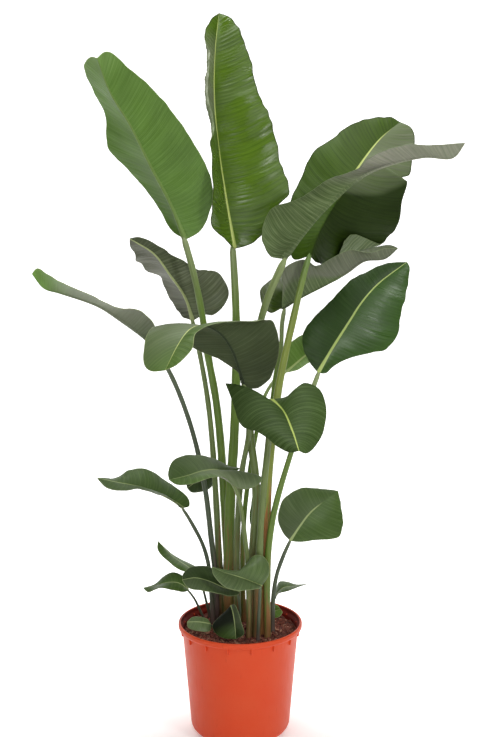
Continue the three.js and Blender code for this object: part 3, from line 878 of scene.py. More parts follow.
# ----------------------------------------------------------------------------------- leaves
@dataclass(frozen=True)
class Roll:
    """A stretch of margin that rolls over.

    side is -1 for the left half and 1 for the right, start and end are shares of the rib's
    length, width is how much of the blade rolls, in millimetres, and turn is how far, in
    degrees: towards the upper side where it is positive. It bends evenly, or where bend is
    given in a fold of that radius, in millimetres, past which it lies flat. A fold is blade
    past the drawn margin, a roll is blade up to it. fade is the share of the rib's length
    in which it starts and ends.
    """

    side: int
    start: float
    end: float
    width: float
    turn: float
    fade: float = 0.08
    bend: float = 0.0
    most: float = 0.6  # of the half's width
    least: float = 0.5  # millimetres

    def reach(self, along: Array, width: Array, uneven: Array) -> Array:
        """Works out how much of the blade rolls over.

        Args:
            along: the share of the rib's length at each row.
            width: the half's width at each row.
            uneven: the roll's unevenness at each row.

        Returns:
            Millimetres, one for each row.
        """
        here = smoothstep(self.start, self.start + self.fade, along)
        here = here * smoothstep(self.end, self.end - self.fade, along)
        return np.minimum(self.width * here * uneven, self.most * width)

    def bent(self, reach: Array, points: Array, edge: Array, lift: Array) -> Array:
        """Rolls the stretch of one half's margin over.

        Args:
            reach: how much of the blade rolls at each row.
            points: the half's points.
            edge: how far each point lies from the margin.
            lift: the upper side's direction at each row.

        Returns:
            The half's points, rolled.
        """
        made = points.copy()
        for i in np.flatnonzero(reach > self.least):
            bent = edge[i] < reach[i]
            order = edge[i][::-1]
            hinge = np.array([np.interp(reach[i], order, axis) for axis in points[i][::-1].T])
            outward = unit(points[i, -1] - hinge)
            turn = math.radians(self.turn)
            if not self.bend:
                turn *= min(reach[i] / self.width, 1.0)
            up = unit(lift[i] - outward * (lift[i] @ outward)) * math.copysign(1, turn)
            radius = min(reach[i] / abs(turn), self.bend or math.inf)
            past = (reach[i] - edge[i][bent]) / radius
            angle = np.minimum(past, abs(turn))
            straight = radius * (past - angle)
            made[i, bent] = (
                hinge
                + outward * (radius * np.sin(angle) + straight * np.cos(angle))[:, None]
                + up * (radius * (1 - np.cos(angle)) + straight * np.sin(angle))[:, None]
            )
        return made


@dataclass(frozen=True)
class Shade:
    """The light and shade painted on the tissue at one share of the rib's length.

    left and right scale each half's colour there, as painted light and shade, and the other
    two say how much grey lies on each half: wax on the leaf, and painted sheen.
    """

    along: float
    left: float = 1.0
    right: float = 1.0
    left_bloom_and_sheen: float = 0.0
    right_bloom_and_sheen: float = 0.0


@dataclass(frozen=True)
class LeafPlan:
    """One leaf: its frame node, its finishes and the lines that it is built on.

    foot is where the stalk stands in the soil and thick is the stalk's radius there and
    under the blade. stalk, rib, left and right are points of the picture, as seen() reads
    them; left and right are the margins as they lie when the upper side is looked at with
    the tip away. bow lifts the middle of each half, as a part of its width. pleat scales
    the side pleats, and wave and scallop are how far the margin waves up and in, in
    millimetres. shades paint light and shade on the tissue, with grey of wax and painted
    sheen, and hold for both sides where shades_below is empty. They lean forward from the
    rib to the margin by lean, a share of the rib's length. The rib is pale from the first
    of rib_seen to the second; elsewhere it takes the tissue's colour, painted shade and all.
    """

    node: str
    foot: Sequence[float]
    thick: Sequence[float]
    stalk: Points
    rib: Points
    left: Points
    right: Points
    upper: Skin = Skin.SHADED
    under: Skin = Skin.DARK_BACK
    rind: Rind = Rind.DARK
    bow: float = 0.06
    pleat: float = 0.5
    wave: float = 1.4
    scallop: float = 0.8
    rolls: Sequence[Roll] = ()
    shades: Sequence[Shade] = (Shade(0.0),)
    shades_below: Sequence[Shade] = ()
    lean: float = 0.0
    rib_seen: Sequence[float] = (-1.0, 2.0)


@dataclass
class BladeSheet:
    """A blade as a grid of points: rows from base to tip, columns from left to right.

    along is each row's share of the rib's length. distance, share and edge say how far each
    point lies from the rib, less than 0 at the left, in millimetres and as a share of the
    half's width, and how far from the margin. rib_half is the rib's half width.
    """

    points: Array
    along: Array
    distance: Array
    share: Array
    edge: Array
    rib_half: Array


@dataclass(frozen=True)
class RibShape:
    """The rib: how wide it is, its channel above and its keel below.

    start and body are its half widths against the stalk's radius, at its start and past its
    flare, and tip is what is left at the tip in millimetres. groove and keel go by its half
    width. flare and fade are shares of its length.
    """

    start: float = 0.85
    body: float = 0.52
    flare: tuple[float, float] = (0, 0.16)
    taper: float = 0.8
    tip: float = 0.45
    groove: float = 0.12
    keel: float = 1.15
    fade: tuple[float, float] = (0.08, 0.1)

    def half_width(self, along: Array, stalk_radius: float) -> Array:
        """Tapers the rib from the stalk's width to a hair at the tip.

        Args:
            along: shares of the rib's length.
            stalk_radius: the stalk's radius under the blade.

        Returns:
            Half widths in millimetres.
        """
        start, body = self.start * stalk_radius, self.body * stalk_radius
        flare = start + (body - start) * smoothstep(*self.flare, along)
        return flare * (1 - along) ** self.taper + self.tip

    def shown(self, along: Array, between: Sequence[float]) -> Array:
        """Tells how far the pale rib shows.

        Args:
            along: shares of the rib's length.
            between: where it starts and where it ends to show.

        Returns:
            0 where it doesn't show to 1 where it shows in full.
        """
        (start, end), (fade_in, fade_out) = between, self.fade
        shown = smoothstep(start - fade_in, start + fade_in, along)
        return shown * smoothstep(end + fade_out, end - fade_out, along)


@dataclass(frozen=True)
class Relief:
    """The pleats between a blade's side veins, and its folds, waves and dents.

    The veins lean forward from the rib by slant and bend, and stray by vein_drift. As a half
    widens from the first of widening to the second, all of this grows. rise and fall and
    the pairs named after them are shares of the half's width, where something starts and is
    full. Lengths and heights are millimetres.
    """

    spacing: float = 8.0
    height: float = 0.36
    strength: tuple[float, float] = (0.7, 0.5)  # its middle and how far it varies
    patch: float = 60.0
    widening: tuple[float, float] = (4, 34)
    rise: tuple[float, float] = (0.05, 0.3)
    fall: tuple[float, float] = (0.85, 1)
    calmed: float = 0.6
    slant: float = 0.22
    bend: float = 0.0022
    vein_drift: float = 2.6
    drift_length: float = 34.0
    fold_spacing: float = 27.0
    fold_height: float = 0.6
    fold_rise: tuple[float, float] = (0.15, 0.8)
    fold_apart: float = 300.0  # keeps the halves' folds unlike one another
    wave_length: float = 62.0
    wave_apart: float = 400.0
    dent_length: float = 85.0
    dent_share: float = 0.35
    dent_rise: tuple[float, float] = (0, 0.5)
    calm_end: float = 0.06  # the share of the rib's length that stays free of waves

    def veins(self, sheet: BladeSheet, length: float, rng: random.Random) -> Array:
        """Counts millimetres across the side veins, which lean forward from the rib.

        Args:
            sheet: the blade.
            length: the rib's length.
            rng: the leaf's random numbers.

        Returns:
            The distance from the base's vein, with the veins' own irregularity.
        """
        run = sheet.along[:, None] * length
        reach = np.abs(sheet.distance)
        straight = run - self.slant * reach - self.bend * reach**2
        drift, other_half = (Ripple(rng, self.drift_length).at(straight) for _ in range(2))
        return straight + self.vein_drift * np.where(sheet.distance < 0, drift, other_half)

    def heights(
        self, sheet: BladeSheet, veins: Array, plan: LeafPlan, rng: random.Random
    ) -> Array:
        """Works out how far the blade lies above its bare sheet.

        Args:
            sheet: the bare sheet.
            veins: millimetres across the side veins.
            plan: the leaf's plan, which scales its pleats and waves.
            rng: the leaf's random numbers.

        Returns:
            Heights in millimetres.
        """
        share = sheet.share
        half = np.sign(sheet.distance)
        width = (np.abs(sheet.distance) + sheet.edge).max(axis=1, keepdims=True)
        wide = smoothstep(*self.widening, width)
        reach = smoothstep(*self.rise, share)
        reach = reach * (1 - self.calmed * smoothstep(*self.fall, share))
        middle, varies = self.strength
        strength = middle + varies * Ripple(rng, self.patch).at(veins, sheet.distance)
        pleats = np.cos(FULL_TURN * veins / self.spacing) * strength
        pleats = pleats * self.height * plan.pleat * reach * wide
        folds = Ripple(rng, self.fold_spacing).at(veins, self.fold_apart * half)
        folds = folds * self.fold_height * plan.pleat * wide
        folds = folds * smoothstep(*self.fold_rise, share)
        waves = Ripple(rng, self.wave_length).at(veins, self.wave_apart * half) * share**3
        dents = Ripple(rng, self.dent_length).at(veins, sheet.distance)
        waves = waves + self.dent_share * dents * smoothstep(*self.dent_rise, share)
        calm = smoothstep(0, self.calm_end, sheet.along) * smoothstep(
            1, 1 - self.calm_end, sheet.along
        )
        return pleats + (folds + waves * plan.wave * wide) * calm[:, None]


@functools.cache
def dressed(finish: Enum) -> Material:
    """Makes the material of a skin or a rind, once for all leaves."""
    return finish.value.build()


@dataclass
class Blade:
    """A leaf's blade, spanned between its rib and its two margins.

    Lengths are millimetres, and those named most are shares of a half's width. As a half
    widens, its margin's notches grow over notch_from.
    """

    plan: LeafPlan
    number: int
    rng: random.Random
    rib: RibShape = RibShape()
    relief: Relief = Relief()
    least_rows: int = 26
    row_step: float = 2.2
    row_crowding: float = 0.2  # how far rows draw together at base and tip
    least_columns: int = 5
    column_step: float = 4.6
    rib_columns: tuple[float, ...] = (0, 0.4, 0.75, 1.0, 1.3)  # against the rib's half width
    rib_most: float = 0.25  # of a half's width
    thickness: float = 0.9
    edge_width: float = 1.1
    edge_most: float = 0.12
    roll_step: float = 1.7
    roll_room: float = 1.25  # how far its close columns reach, against its width
    roll_most: float = 0.5
    roll_length: float = 70.0
    roll_uneven: float = 0.2
    notch_length: float = 26.0
    notch_waves: int = 9
    notch_from: tuple[float, float] = (6, 40)
    base_share: float = 0.12  # where the upper side's direction at the base is read
    base_edge: float = 5.0  # how far its ends count as from the margin
    tip_edge: float = 1.0
    spine: SmoothCurve = field(init=False)
    base: Array = field(init=False)
    tip: Array = field(init=False)
    left: SmoothCurve = field(init=False)
    right: SmoothCurve = field(init=False)

    def __post_init__(self) -> None:
        """Reads the plan's lines."""
        rib = seen(self.plan.rib)
        self.spine = SmoothCurve(rib)
        self.base, self.tip = rib[0], rib[-1]
        self.left, self.right = (
            SmoothCurve(np.vstack([self.base, seen(drawn), self.tip]))
            for drawn in (self.plan.left, self.plan.right)
        )

    def build(self) -> Piece:
        """Makes the blade: pleated, waved, with a channel above and a keel below its rib.

        Returns:
            The blade's object.
        """
        sheet = self.sheet()
        veins = self.relief.veins(sheet, self.spine.length, self.rng)
        points = sheet.points
        heights = self.relief.heights(sheet, veins, self.plan, self.rng)
        points = points + self.upward(points) * heights[..., None]
        normal = self.upward(points)
        from_rib = np.abs(sheet.distance) / sheet.rib_half[:, None]
        inside = np.clip(1 - from_rib**2, 0, 1)
        groove = self.rib.groove * sheet.rib_half[:, None] * inside
        keel = self.rib.keel * sheet.rib_half[:, None] * np.sqrt(inside)
        half = self.thickness / 2
        upper = points + normal * (half - groove)[..., None]
        lower = points - normal * (half + keel)[..., None]
        ends = []
        for end, row in ((self.base, 0), (self.tip, -1)):
            up = unit(normal[row].mean(axis=0)) * half
            ends += [end + up, end - up]
        faces, kinds = self.faces(*sheet.share.shape)

        zero = 0 * sheet.share
        shown = self.rib.shown(sheet.along, self.plan.rib_seen)[:, None] + zero
        place = np.stack([veins, sheet.distance, sheet.edge], axis=-1)
        look = np.stack([from_rib, shown, zero + self.number], axis=-1)
        # The light and shade painted on the upper side and on the underside.
        tones = [
            self.tones(sheet, shades)
            for shades in (self.plan.shades, self.plan.shades_below or self.plan.shades)
        ]
        base_place, tip_place = [0, 0, self.base_edge], [self.spine.length, 0, self.tip_edge]
        layers = {
            "leaf_place": ([place, place], [base_place, base_place, tip_place, tip_place]),
            "leaf_look": ([look, look], [[0, shown[k, 0], self.number] for k in (0, 0, -1, -1)]),
            "leaf_painted_light_and_bloom": (tones, [side[row].mean(axis=0) for row in (0, -1) for side in tones]),
        }
        return make_object(
            self.plan.node + "_blade",
            np.vstack([upper.reshape(-1, 3), lower.reshape(-1, 3), *ends]),
            faces,
            [dressed(self.plan.upper), dressed(self.plan.under)],
            kinds,
            {
                name: np.vstack([*(side.reshape(-1, 3) for side in sides), at_ends])
                for name, (sides, at_ends) in layers.items()
            },
        )

    def base_upward(self) -> Array:
        """Finds the upper side's direction at the blade's base.

        Returns:
            A unit vector.
        """
        near = np.array([self.base_share])
        across = self.right.at(near) - self.left.at(near)
        return unit(np.cross(across, self.spine.ahead(near)))[0]

    def half(self, side: int, margin: SmoothCurve, along: Array, rib_half: Array) -> list[Array]:
        """Spans one half of the blade between its rib and its margin.

        Args:
            side: -1 for the left half and 1 for the right.
            margin: the half's margin.
            along: the share of the rib's length at each row.
            rib_half: the rib's half width at each row.

        Returns:
            The points, and how far each lies from the rib, as a share, and from the margin.
        """
        rib = self.spine.at(along)
        run = along * self.spine.length
        across = margin.at(along) - rib
        width = np.linalg.norm(across, axis=1)
        notched = Ripple(self.rng, self.notch_length, self.notch_waves).at(run)
        notched = notched * self.plan.scallop * smoothstep(*self.notch_from, width)
        across = across * (1 + notched / width)[:, None]
        width = width + notched
        lift = unit(-side * np.cross(self.spine.ahead(along), across))
        rolls = [roll for roll in self.plan.rolls if roll.side == side]
        reaches = []
        for roll in rolls:
            uneven = 1 + self.roll_uneven * Ripple(self.rng, self.roll_length).at(run)
            reaches.append(roll.reach(along, width, uneven))
        for roll, reach in zip(rolls, reaches):
            if roll.bend:
                across = across * (1 + reach / width)[:, None]
                width = width + reach
        share = self.column_shares(width, rib_half, rolls)
        points = rib[:, None] + across[:, None] * share[..., None]
        bow = width[:, None] * self.plan.bow * 4 * share * (1 - share)
        points = points + lift[:, None] * bow[..., None]
        distance = width[:, None] * share
        edge = width[:, None] - distance
        for roll, reach in zip(rolls, reaches):
            points = roll.bent(reach, points, edge, lift)
        return [points, side * distance, share, edge]

    def sheet(self) -> BladeSheet:
        """Spans both halves of the blade.

        Returns:
            The bare sheet, bowed and rolled but not yet pleated.
        """
        rows = max(self.least_rows, round(self.spine.length / self.row_step))
        even = np.linspace(0, 1, rows + 1)[1:-1]
        crowded = (1 - np.cos(math.pi * even)) / 2
        along = (1 - self.row_crowding) * even + self.row_crowding * crowded
        rib_half = self.rib.half_width(along, self.plan.thick[1])
        left = [layer[:, ::-1] for layer in self.half(-1, self.left, along, rib_half)]
        right = [layer[:, 1:] for layer in self.half(1, self.right, along, rib_half)]
        points, distance, share, edge = (
            np.concatenate(layers, axis=1) for layers in zip(left, right)
        )
        return BladeSheet(points, along, distance, share, edge, rib_half)

    def column_shares(self, width: Array, rib_half: Array, rolls: Sequence[Roll]) -> Array:
        """Places the columns of one half: close on the rib, then even, then at the edge.

        Args:
            width: the half's width at each row.
            rib_half: the rib's half width at each row.
            rolls: the half's rolls, which need closer columns.

        Returns:
            Shares of the half's width, one row each.
        """
        fine = self.roll_room * max((roll.width for roll in rolls), default=0.0)
        count = max(self.least_columns, round((float(width.max()) - fine) / self.column_step))
        on_rib = np.minimum(rib_half / width, self.rib_most)[:, None]
        before_edge = 1 - np.minimum(self.edge_width / width, self.edge_most)[:, None]
        before_fine = 1 - np.minimum(fine / width, self.roll_most)[:, None]
        before_fine = np.minimum(before_fine, before_edge)
        past_rib = self.rib_columns[-1] * on_rib
        inner = np.linspace(0, 1, count + 1)[1:]
        outer = np.linspace(0, 1, math.ceil(fine / self.roll_step) + 1)[1:]
        return np.concatenate(
            [
                on_rib * np.array(self.rib_columns),
                past_rib + (before_fine - past_rib) * inner,
                before_fine + (before_edge - before_fine) * outer,
                np.ones_like(on_rib),
            ],
            axis=1,
        )

    def tones(self, sheet: BladeSheet, shades: Sequence[Shade]) -> Array:
        """Works out the light and shade painted on the tissue, and its grey of wax and painted sheen.

        Args:
            sheet: the blade.
            shades: how it looks along the rib.

        Returns:
            A row at each point, with 0 as its last value.
        """
        along = sheet.along[:, None] + self.plan.lean * sheet.share
        marks = [shade.along for shade in shades]
        on_left = smoothstep(1, -1, sheet.distance / sheet.rib_half[:, None])
        left, right, left_bloom_and_sheen, right_bloom_and_sheen = (
            np.interp(along, marks, [getattr(shade, name) for shade in shades])
            for name in ("left", "right", "left_bloom_and_sheen", "right_bloom_and_sheen")
        )
        tone = right + (left - right) * on_left
        bloom_and_sheen = right_bloom_and_sheen + (left_bloom_and_sheen - right_bloom_and_sheen) * on_left
        return np.stack([tone, bloom_and_sheen, 0 * tone], axis=-1)

    def upward(self, points: Array) -> Array:
        """Finds the upper side's direction at each point of a grid."""
        return unit(np.cross(np.gradient(points, axis=1), np.gradient(points, axis=0)))

    def faces(self, rows: int, columns: int) -> tuple[Faces, list[int]]:
        """Numbers the faces of a blade that is closed at its base, tip and margins.

        Args:
            rows: how many rows the grid has.
            columns: how many columns it has.

        Returns:
            All faces, and 0 for each of the upper side and 1 for each of the others.
        """
        count = rows * columns
        faces = grid_faces(rows, columns)
        kinds = [0] * len(faces) + [1] * len(faces)
        faces += [[k + count for k in reversed(face)] for face in faces]
        base_up, base_down, tip_up, tip_down = range(2 * count, 2 * count + 4)
        last = count - columns
        for j in range(columns - 1):
            faces.append([base_up, j + 1, j])
            faces.append([base_down, count + j, count + j + 1])
            faces.append([last + j, last + j + 1, tip_up])
            faces.append([count + last + j + 1, count + last + j, tip_down])
            kinds += [0, 1, 0, 1]
        left = [i * columns for i in range(rows)]
        right = [i * columns + columns - 1 for i in reversed(range(rows))]
        loop = [base_up, *left, tip_up, *right]
        under = {k: k + count for k in [*left, *right]} | {base_up: base_down, tip_up: tip_down}
        for k, following in zip(loop, [*loop[1:], loop[0]]):
            faces.append([k, following, under[following], under[k]])
            kinds.append(1)
        return faces, kinds


@dataclass
class Stalk:
    """A leaf's stalk, upright in the soil and channelled above. Lengths are millimetres."""

    plan: LeafPlan
    number: int
    rng: random.Random
    above: Array  # the direction of the blade's upper side at its base
    sides: int = 20
    step: float = 6.0
    least_steps: int = 10
    last_steps: tuple[float, ...] = (0.5, 0.2, 0.0)  # what is left of the last step
    under: float = 0.55  # how far its end lies under the rib, against its radius
    uneven_length: float = 70.0
    unevenness: float = 0.05
    end_radius: float = 0.35  # the radius where the stalk has run out, against the full one
    end_length: float = 3.0  # how long it takes to run out, against its radius
    channel_depth: float = 0.3
    channel_half: float = 0.55  # radians
    channel_rise: tuple[float, float] = (0.05, 0.5)
    grain_apart: float = 37.0  # keeps the stalks' grain unlike one another

    def build(self) -> Piece:
        """Makes the stalk: upright in the soil, then arching up to run into the rib.

        Returns:
            The stalk's object.
        """
        x, y = self.plan.foot
        foot_radius, top_radius = self.plan.thick
        start, on = seen(self.plan.rib[:2])
        join = start + (on - start) * STALK_INTO_BLADE
        upright = [[x, y, STALK_BEND], [x, y, STALK_BEND + STALK_LEAD]]
        under_blade = join - self.above * top_radius * self.under
        curve = SmoothCurve(np.vstack([upright, seen(self.plan.stalk), under_blade]))
        steps = max(self.least_steps, round(curve.length / self.step))
        share = np.linspace(0, 1, steps + 1)
        left_over = (1 - share[-2]) * np.array(self.last_steps)
        share = np.concatenate([share[:-1], 1 - left_over])
        centres = np.vstack([[x, y, SOIL_LEVEL - STALK_DEPTH], curve.at(share)])
        heading = np.vstack([[0, 0, 1], curve.ahead(share)])
        share = np.concatenate([[0], share])
        radius = foot_radius + (top_radius - foot_radius) * share
        ending = np.sqrt(smoothstep(-1, self.end_length * top_radius, (1 - share) * curve.length))
        radius = radius * (self.end_radius + (1 - self.end_radius) * ending)
        uneven = Ripple(self.rng, self.uneven_length).at(share * curve.length)
        radius = radius * (1 + self.unevenness * uneven)

        ups = [self.above]
        for ahead in heading[::-1]:
            ups.append(unit(ups[-1] - ahead * (ups[-1] @ ahead)))
        ups = np.array(ups[:0:-1])
        turn = around(self.sides)
        off_top = np.minimum(turn, FULL_TURN - turn)
        channel = smoothstep(*self.channel_rise, share)[:, None] * self.channel_depth
        channel = channel * np.exp(-((off_top / self.channel_half) ** 2))
        section = radius[:, None] * (1 - channel)
        points = (
            centres[:, None]
            + ups[:, None] * (np.cos(turn) * section)[..., None]
            + np.cross(heading, ups)[:, None] * (np.sin(turn) * section)[..., None]
        )
        foot = range(self.sides)
        last = (len(share) - 1) * self.sides
        faces = [face[::-1] for face in grid_faces(len(share), self.sides, closed=True)]
        faces += [list(foot), [last + k for k in reversed(foot)]]
        share = share[:, None] + 0 * turn
        place = [
            turn * radius[:, None] + self.grain_apart * self.number, share * curve.length, share
        ]
        return make_object(
            self.plan.node + "_stalk",
            points.reshape(-1, 3),
            faces,
            [dressed(self.plan.rind)],
            attributes={"stalk_place": np.stack(place, axis=-1)},
        )


@dataclass
class Leaf:
    """A leaf: a blade and its stalk, which share the leaf's own random numbers."""

    plan: LeafPlan
    number: int
    seeds: int = 100

    def build(self) -> None:
        """Makes the blade and the stalk."""
        rng = random.Random(self.seeds + self.number)
        blade = Blade(self.plan, self.number, rng)
        finish_piece(blade.build(), "leaf", self.plan.node)
        stalk = Stalk(self.plan, self.number, rng, blade.base_upward())
        finish_piece(stalk.build(), "leaf")


# -------------------------------------------------------------------------------------- pot
@dataclass
class NurseryPot:
    """A round tapered nursery pot with a rolled lip, fins under it and a drained bottom."""

    sides: int = 144
    fins: int = 16
    fin_drop: float = 11.0
    fin_rise: float = 3.2
    fin_reach: float = 4.6
    fin_reach_below: float = 2.8
    fin_width: float = 3.2
    fin_bevel: float = 0.5
    fin_sunk: float = 0.9  # how deep it stands in the wall, as a share of it
    drain_holes: int = 6
    drain_radius: float = 6.0
    drain_ring: float = 66.0
    drain_sides: int = 28
    drain_below: float = 4.0  # how far the cutter reaches past the ground
    drain_above: float = 7.0
    plastic: NurseryPlastic = NurseryPlastic()
    # The inside's plastic is darker: painted shade, with the dirt in its scuffs.
    painted_shade_inside_filled: NurseryPlastic = NurseryPlastic(
        "moulded polypropylene, stained by soil", "#7c2014", "#6c2017", "#431c14", 0.5
    )

    def build(self) -> None:
        """Makes the pot with its fins as one piece."""
        plastic = self.plastic.build()
        shell = self.make_shell(plastic, self.painted_shade_inside_filled.build())
        fins = self.make_fins(plastic)
        self.drain(shell)
        with bpy.context.temp_override(
            active_object=shell, selected_editable_objects=[shell, fins]
        ):
            bpy.ops.object.join()
        finish_piece(shell, "pot_plastic", "pot")

    def profile(self) -> Array:
        """Draws the wall's outline, from the bottom's middle out and back inside.

        Returns:
            Rows of radius and height.
        """
        inner_foot = FOOT_CORNER + POT_FLOOR
        share = (inner_foot - FOOT_CORNER) / (LIP_FOOT - FOOT_CORNER)
        inner_radius = BODY_FOOT_RADIUS - POT_WALL + share * (BODY_TOP_RADIUS - BODY_FOOT_RADIUS)
        return rounded([
            (0.0, 0.0, 0.0),
            (BODY_FOOT_RADIUS - 1.4, 0.0, FOOT_CORNER),
            (BODY_TOP_RADIUS, LIP_FOOT, 0.8),
            (RIM_RADIUS - 2.0, LIP_FOOT + 2.5, 1.2),
            (RIM_RADIUS, LIP_FOOT + 5.5, 2.0),
            (RIM_RADIUS, POT_HEIGHT - 3.0, 3.0),
            (RIM_RADIUS - 3.0, POT_HEIGHT, 2.6),
            (RIM_RADIUS - 5.6, POT_HEIGHT - 2.5, 2.2),
            (BODY_TOP_RADIUS + POT_WALL, LIP_FOOT + 6.5, 2.0),
            (BODY_TOP_RADIUS - POT_WALL, LIP_FOOT, 2.0),
            (inner_radius, inner_foot, 0.0),
            (inner_radius - 0.3, POT_FLOOR, FOOT_CORNER - POT_WALL),
            (0.0, POT_FLOOR, 0.0),
        ])

    def make_shell(self, plastic: Material, painted_shade_inside_filled: Material) -> Piece:
        """Turns the wall.

        Args:
            plastic: the outside's plastic.
            painted_shade_inside_filled: the inside's.

        Returns:
            The wall and bottom.
        """
        profile = self.profile()
        body = profile[1:-1]
        points = turned_points(body, self.sides)
        inner_rows = body[:-1, 0] < RIM_RADIUS - 5.0
        inner_rows[: int(np.argmax(body[:, 1]))] = False
        kinds = np.repeat(inner_rows.astype(int), self.sides).tolist() + [0, 1] * self.sides
        faces = grid_faces(len(body), self.sides, closed=True)
        under, last = len(points), len(points) - self.sides
        faces += cap_faces(under, under + 1, 0, last, self.sides)
        middle = [[0, 0, profile[0][1]], [0, 0, profile[-1][1]]]
        return make_object(
            "nursery_pot", np.vstack([points, middle]), faces, [plastic, painted_shade_inside_filled], kinds
        )

    def make_fins(self, plastic: Material) -> Piece:
        """Makes the small upright fins that carry the lip.

        Args:
            plastic: the pot's plastic.

        Returns:
            All fins in one object.
        """
        inside = BODY_TOP_RADIUS - self.fin_sunk * POT_WALL
        outline = [
            (inside, LIP_FOOT - self.fin_drop),
            (BODY_TOP_RADIUS + self.fin_reach_below, LIP_FOOT - self.fin_drop),
            (BODY_TOP_RADIUS + self.fin_reach, LIP_FOOT + self.fin_rise),
            (inside, LIP_FOOT + self.fin_rise),
        ]
        points, faces = [], []
        for angle in around(self.fins, 0.5):
            turn = Matrix.Rotation(angle, 3, "Z")
            start = len(points)
            for across in (-self.fin_width / 2, self.fin_width / 2):
                points += [list(turn @ Vector((r, across, z))) for r, z in outline]
            faces.append([start + k for k in range(4)])
            faces.append([start + 4 + k for k in reversed(range(4))])
            for k in range(4):
                on = (k + 1) % 4
                faces.append([start + on, start + k, start + 4 + k, start + 4 + on])
        fins = make_object("pot_fins", np.array(points), faces, [plastic])
        bevel = fins.modifiers.new("eased edges", "BEVEL")
        bevel.width = self.fin_bevel * MM
        bevel.segments = 2
        self.settle(fins)
        return fins

    def drain(self, shell: Piece) -> None:
        """Cuts the drainage holes.

        Args:
            shell: the pot.
        """
        profile = [[self.drain_radius, -self.drain_below], [self.drain_radius, self.drain_above]]
        ring = range(self.drain_sides)
        for turn in around(self.drain_holes, 0.5):
            points = turned_points(profile, self.drain_sides)
            points += [self.drain_ring * math.cos(turn), self.drain_ring * math.sin(turn), 0]
            faces = grid_faces(2, self.drain_sides, closed=True)
            faces += [list(reversed(ring)), [self.drain_sides + k for k in ring]]
            cutter = make_object("drain_cutter", points, faces, [])
            cut = shell.modifiers.new("drain", "BOOLEAN")
            cut.object = cutter
            cut.solver = "EXACT"
            self.settle(shell)
            bpy.data.objects.remove(cutter)

    def settle(self, piece: Piece) -> None:
        """Applies a piece's modifiers to its mesh.

        Args:
            piece: the piece.
        """
        graph = bpy.context.evaluated_depsgraph_get()
        mesh = bpy.data.meshes.new_from_object(piece.evaluated_get(graph))
        piece.modifiers.clear()
        piece.data = mesh


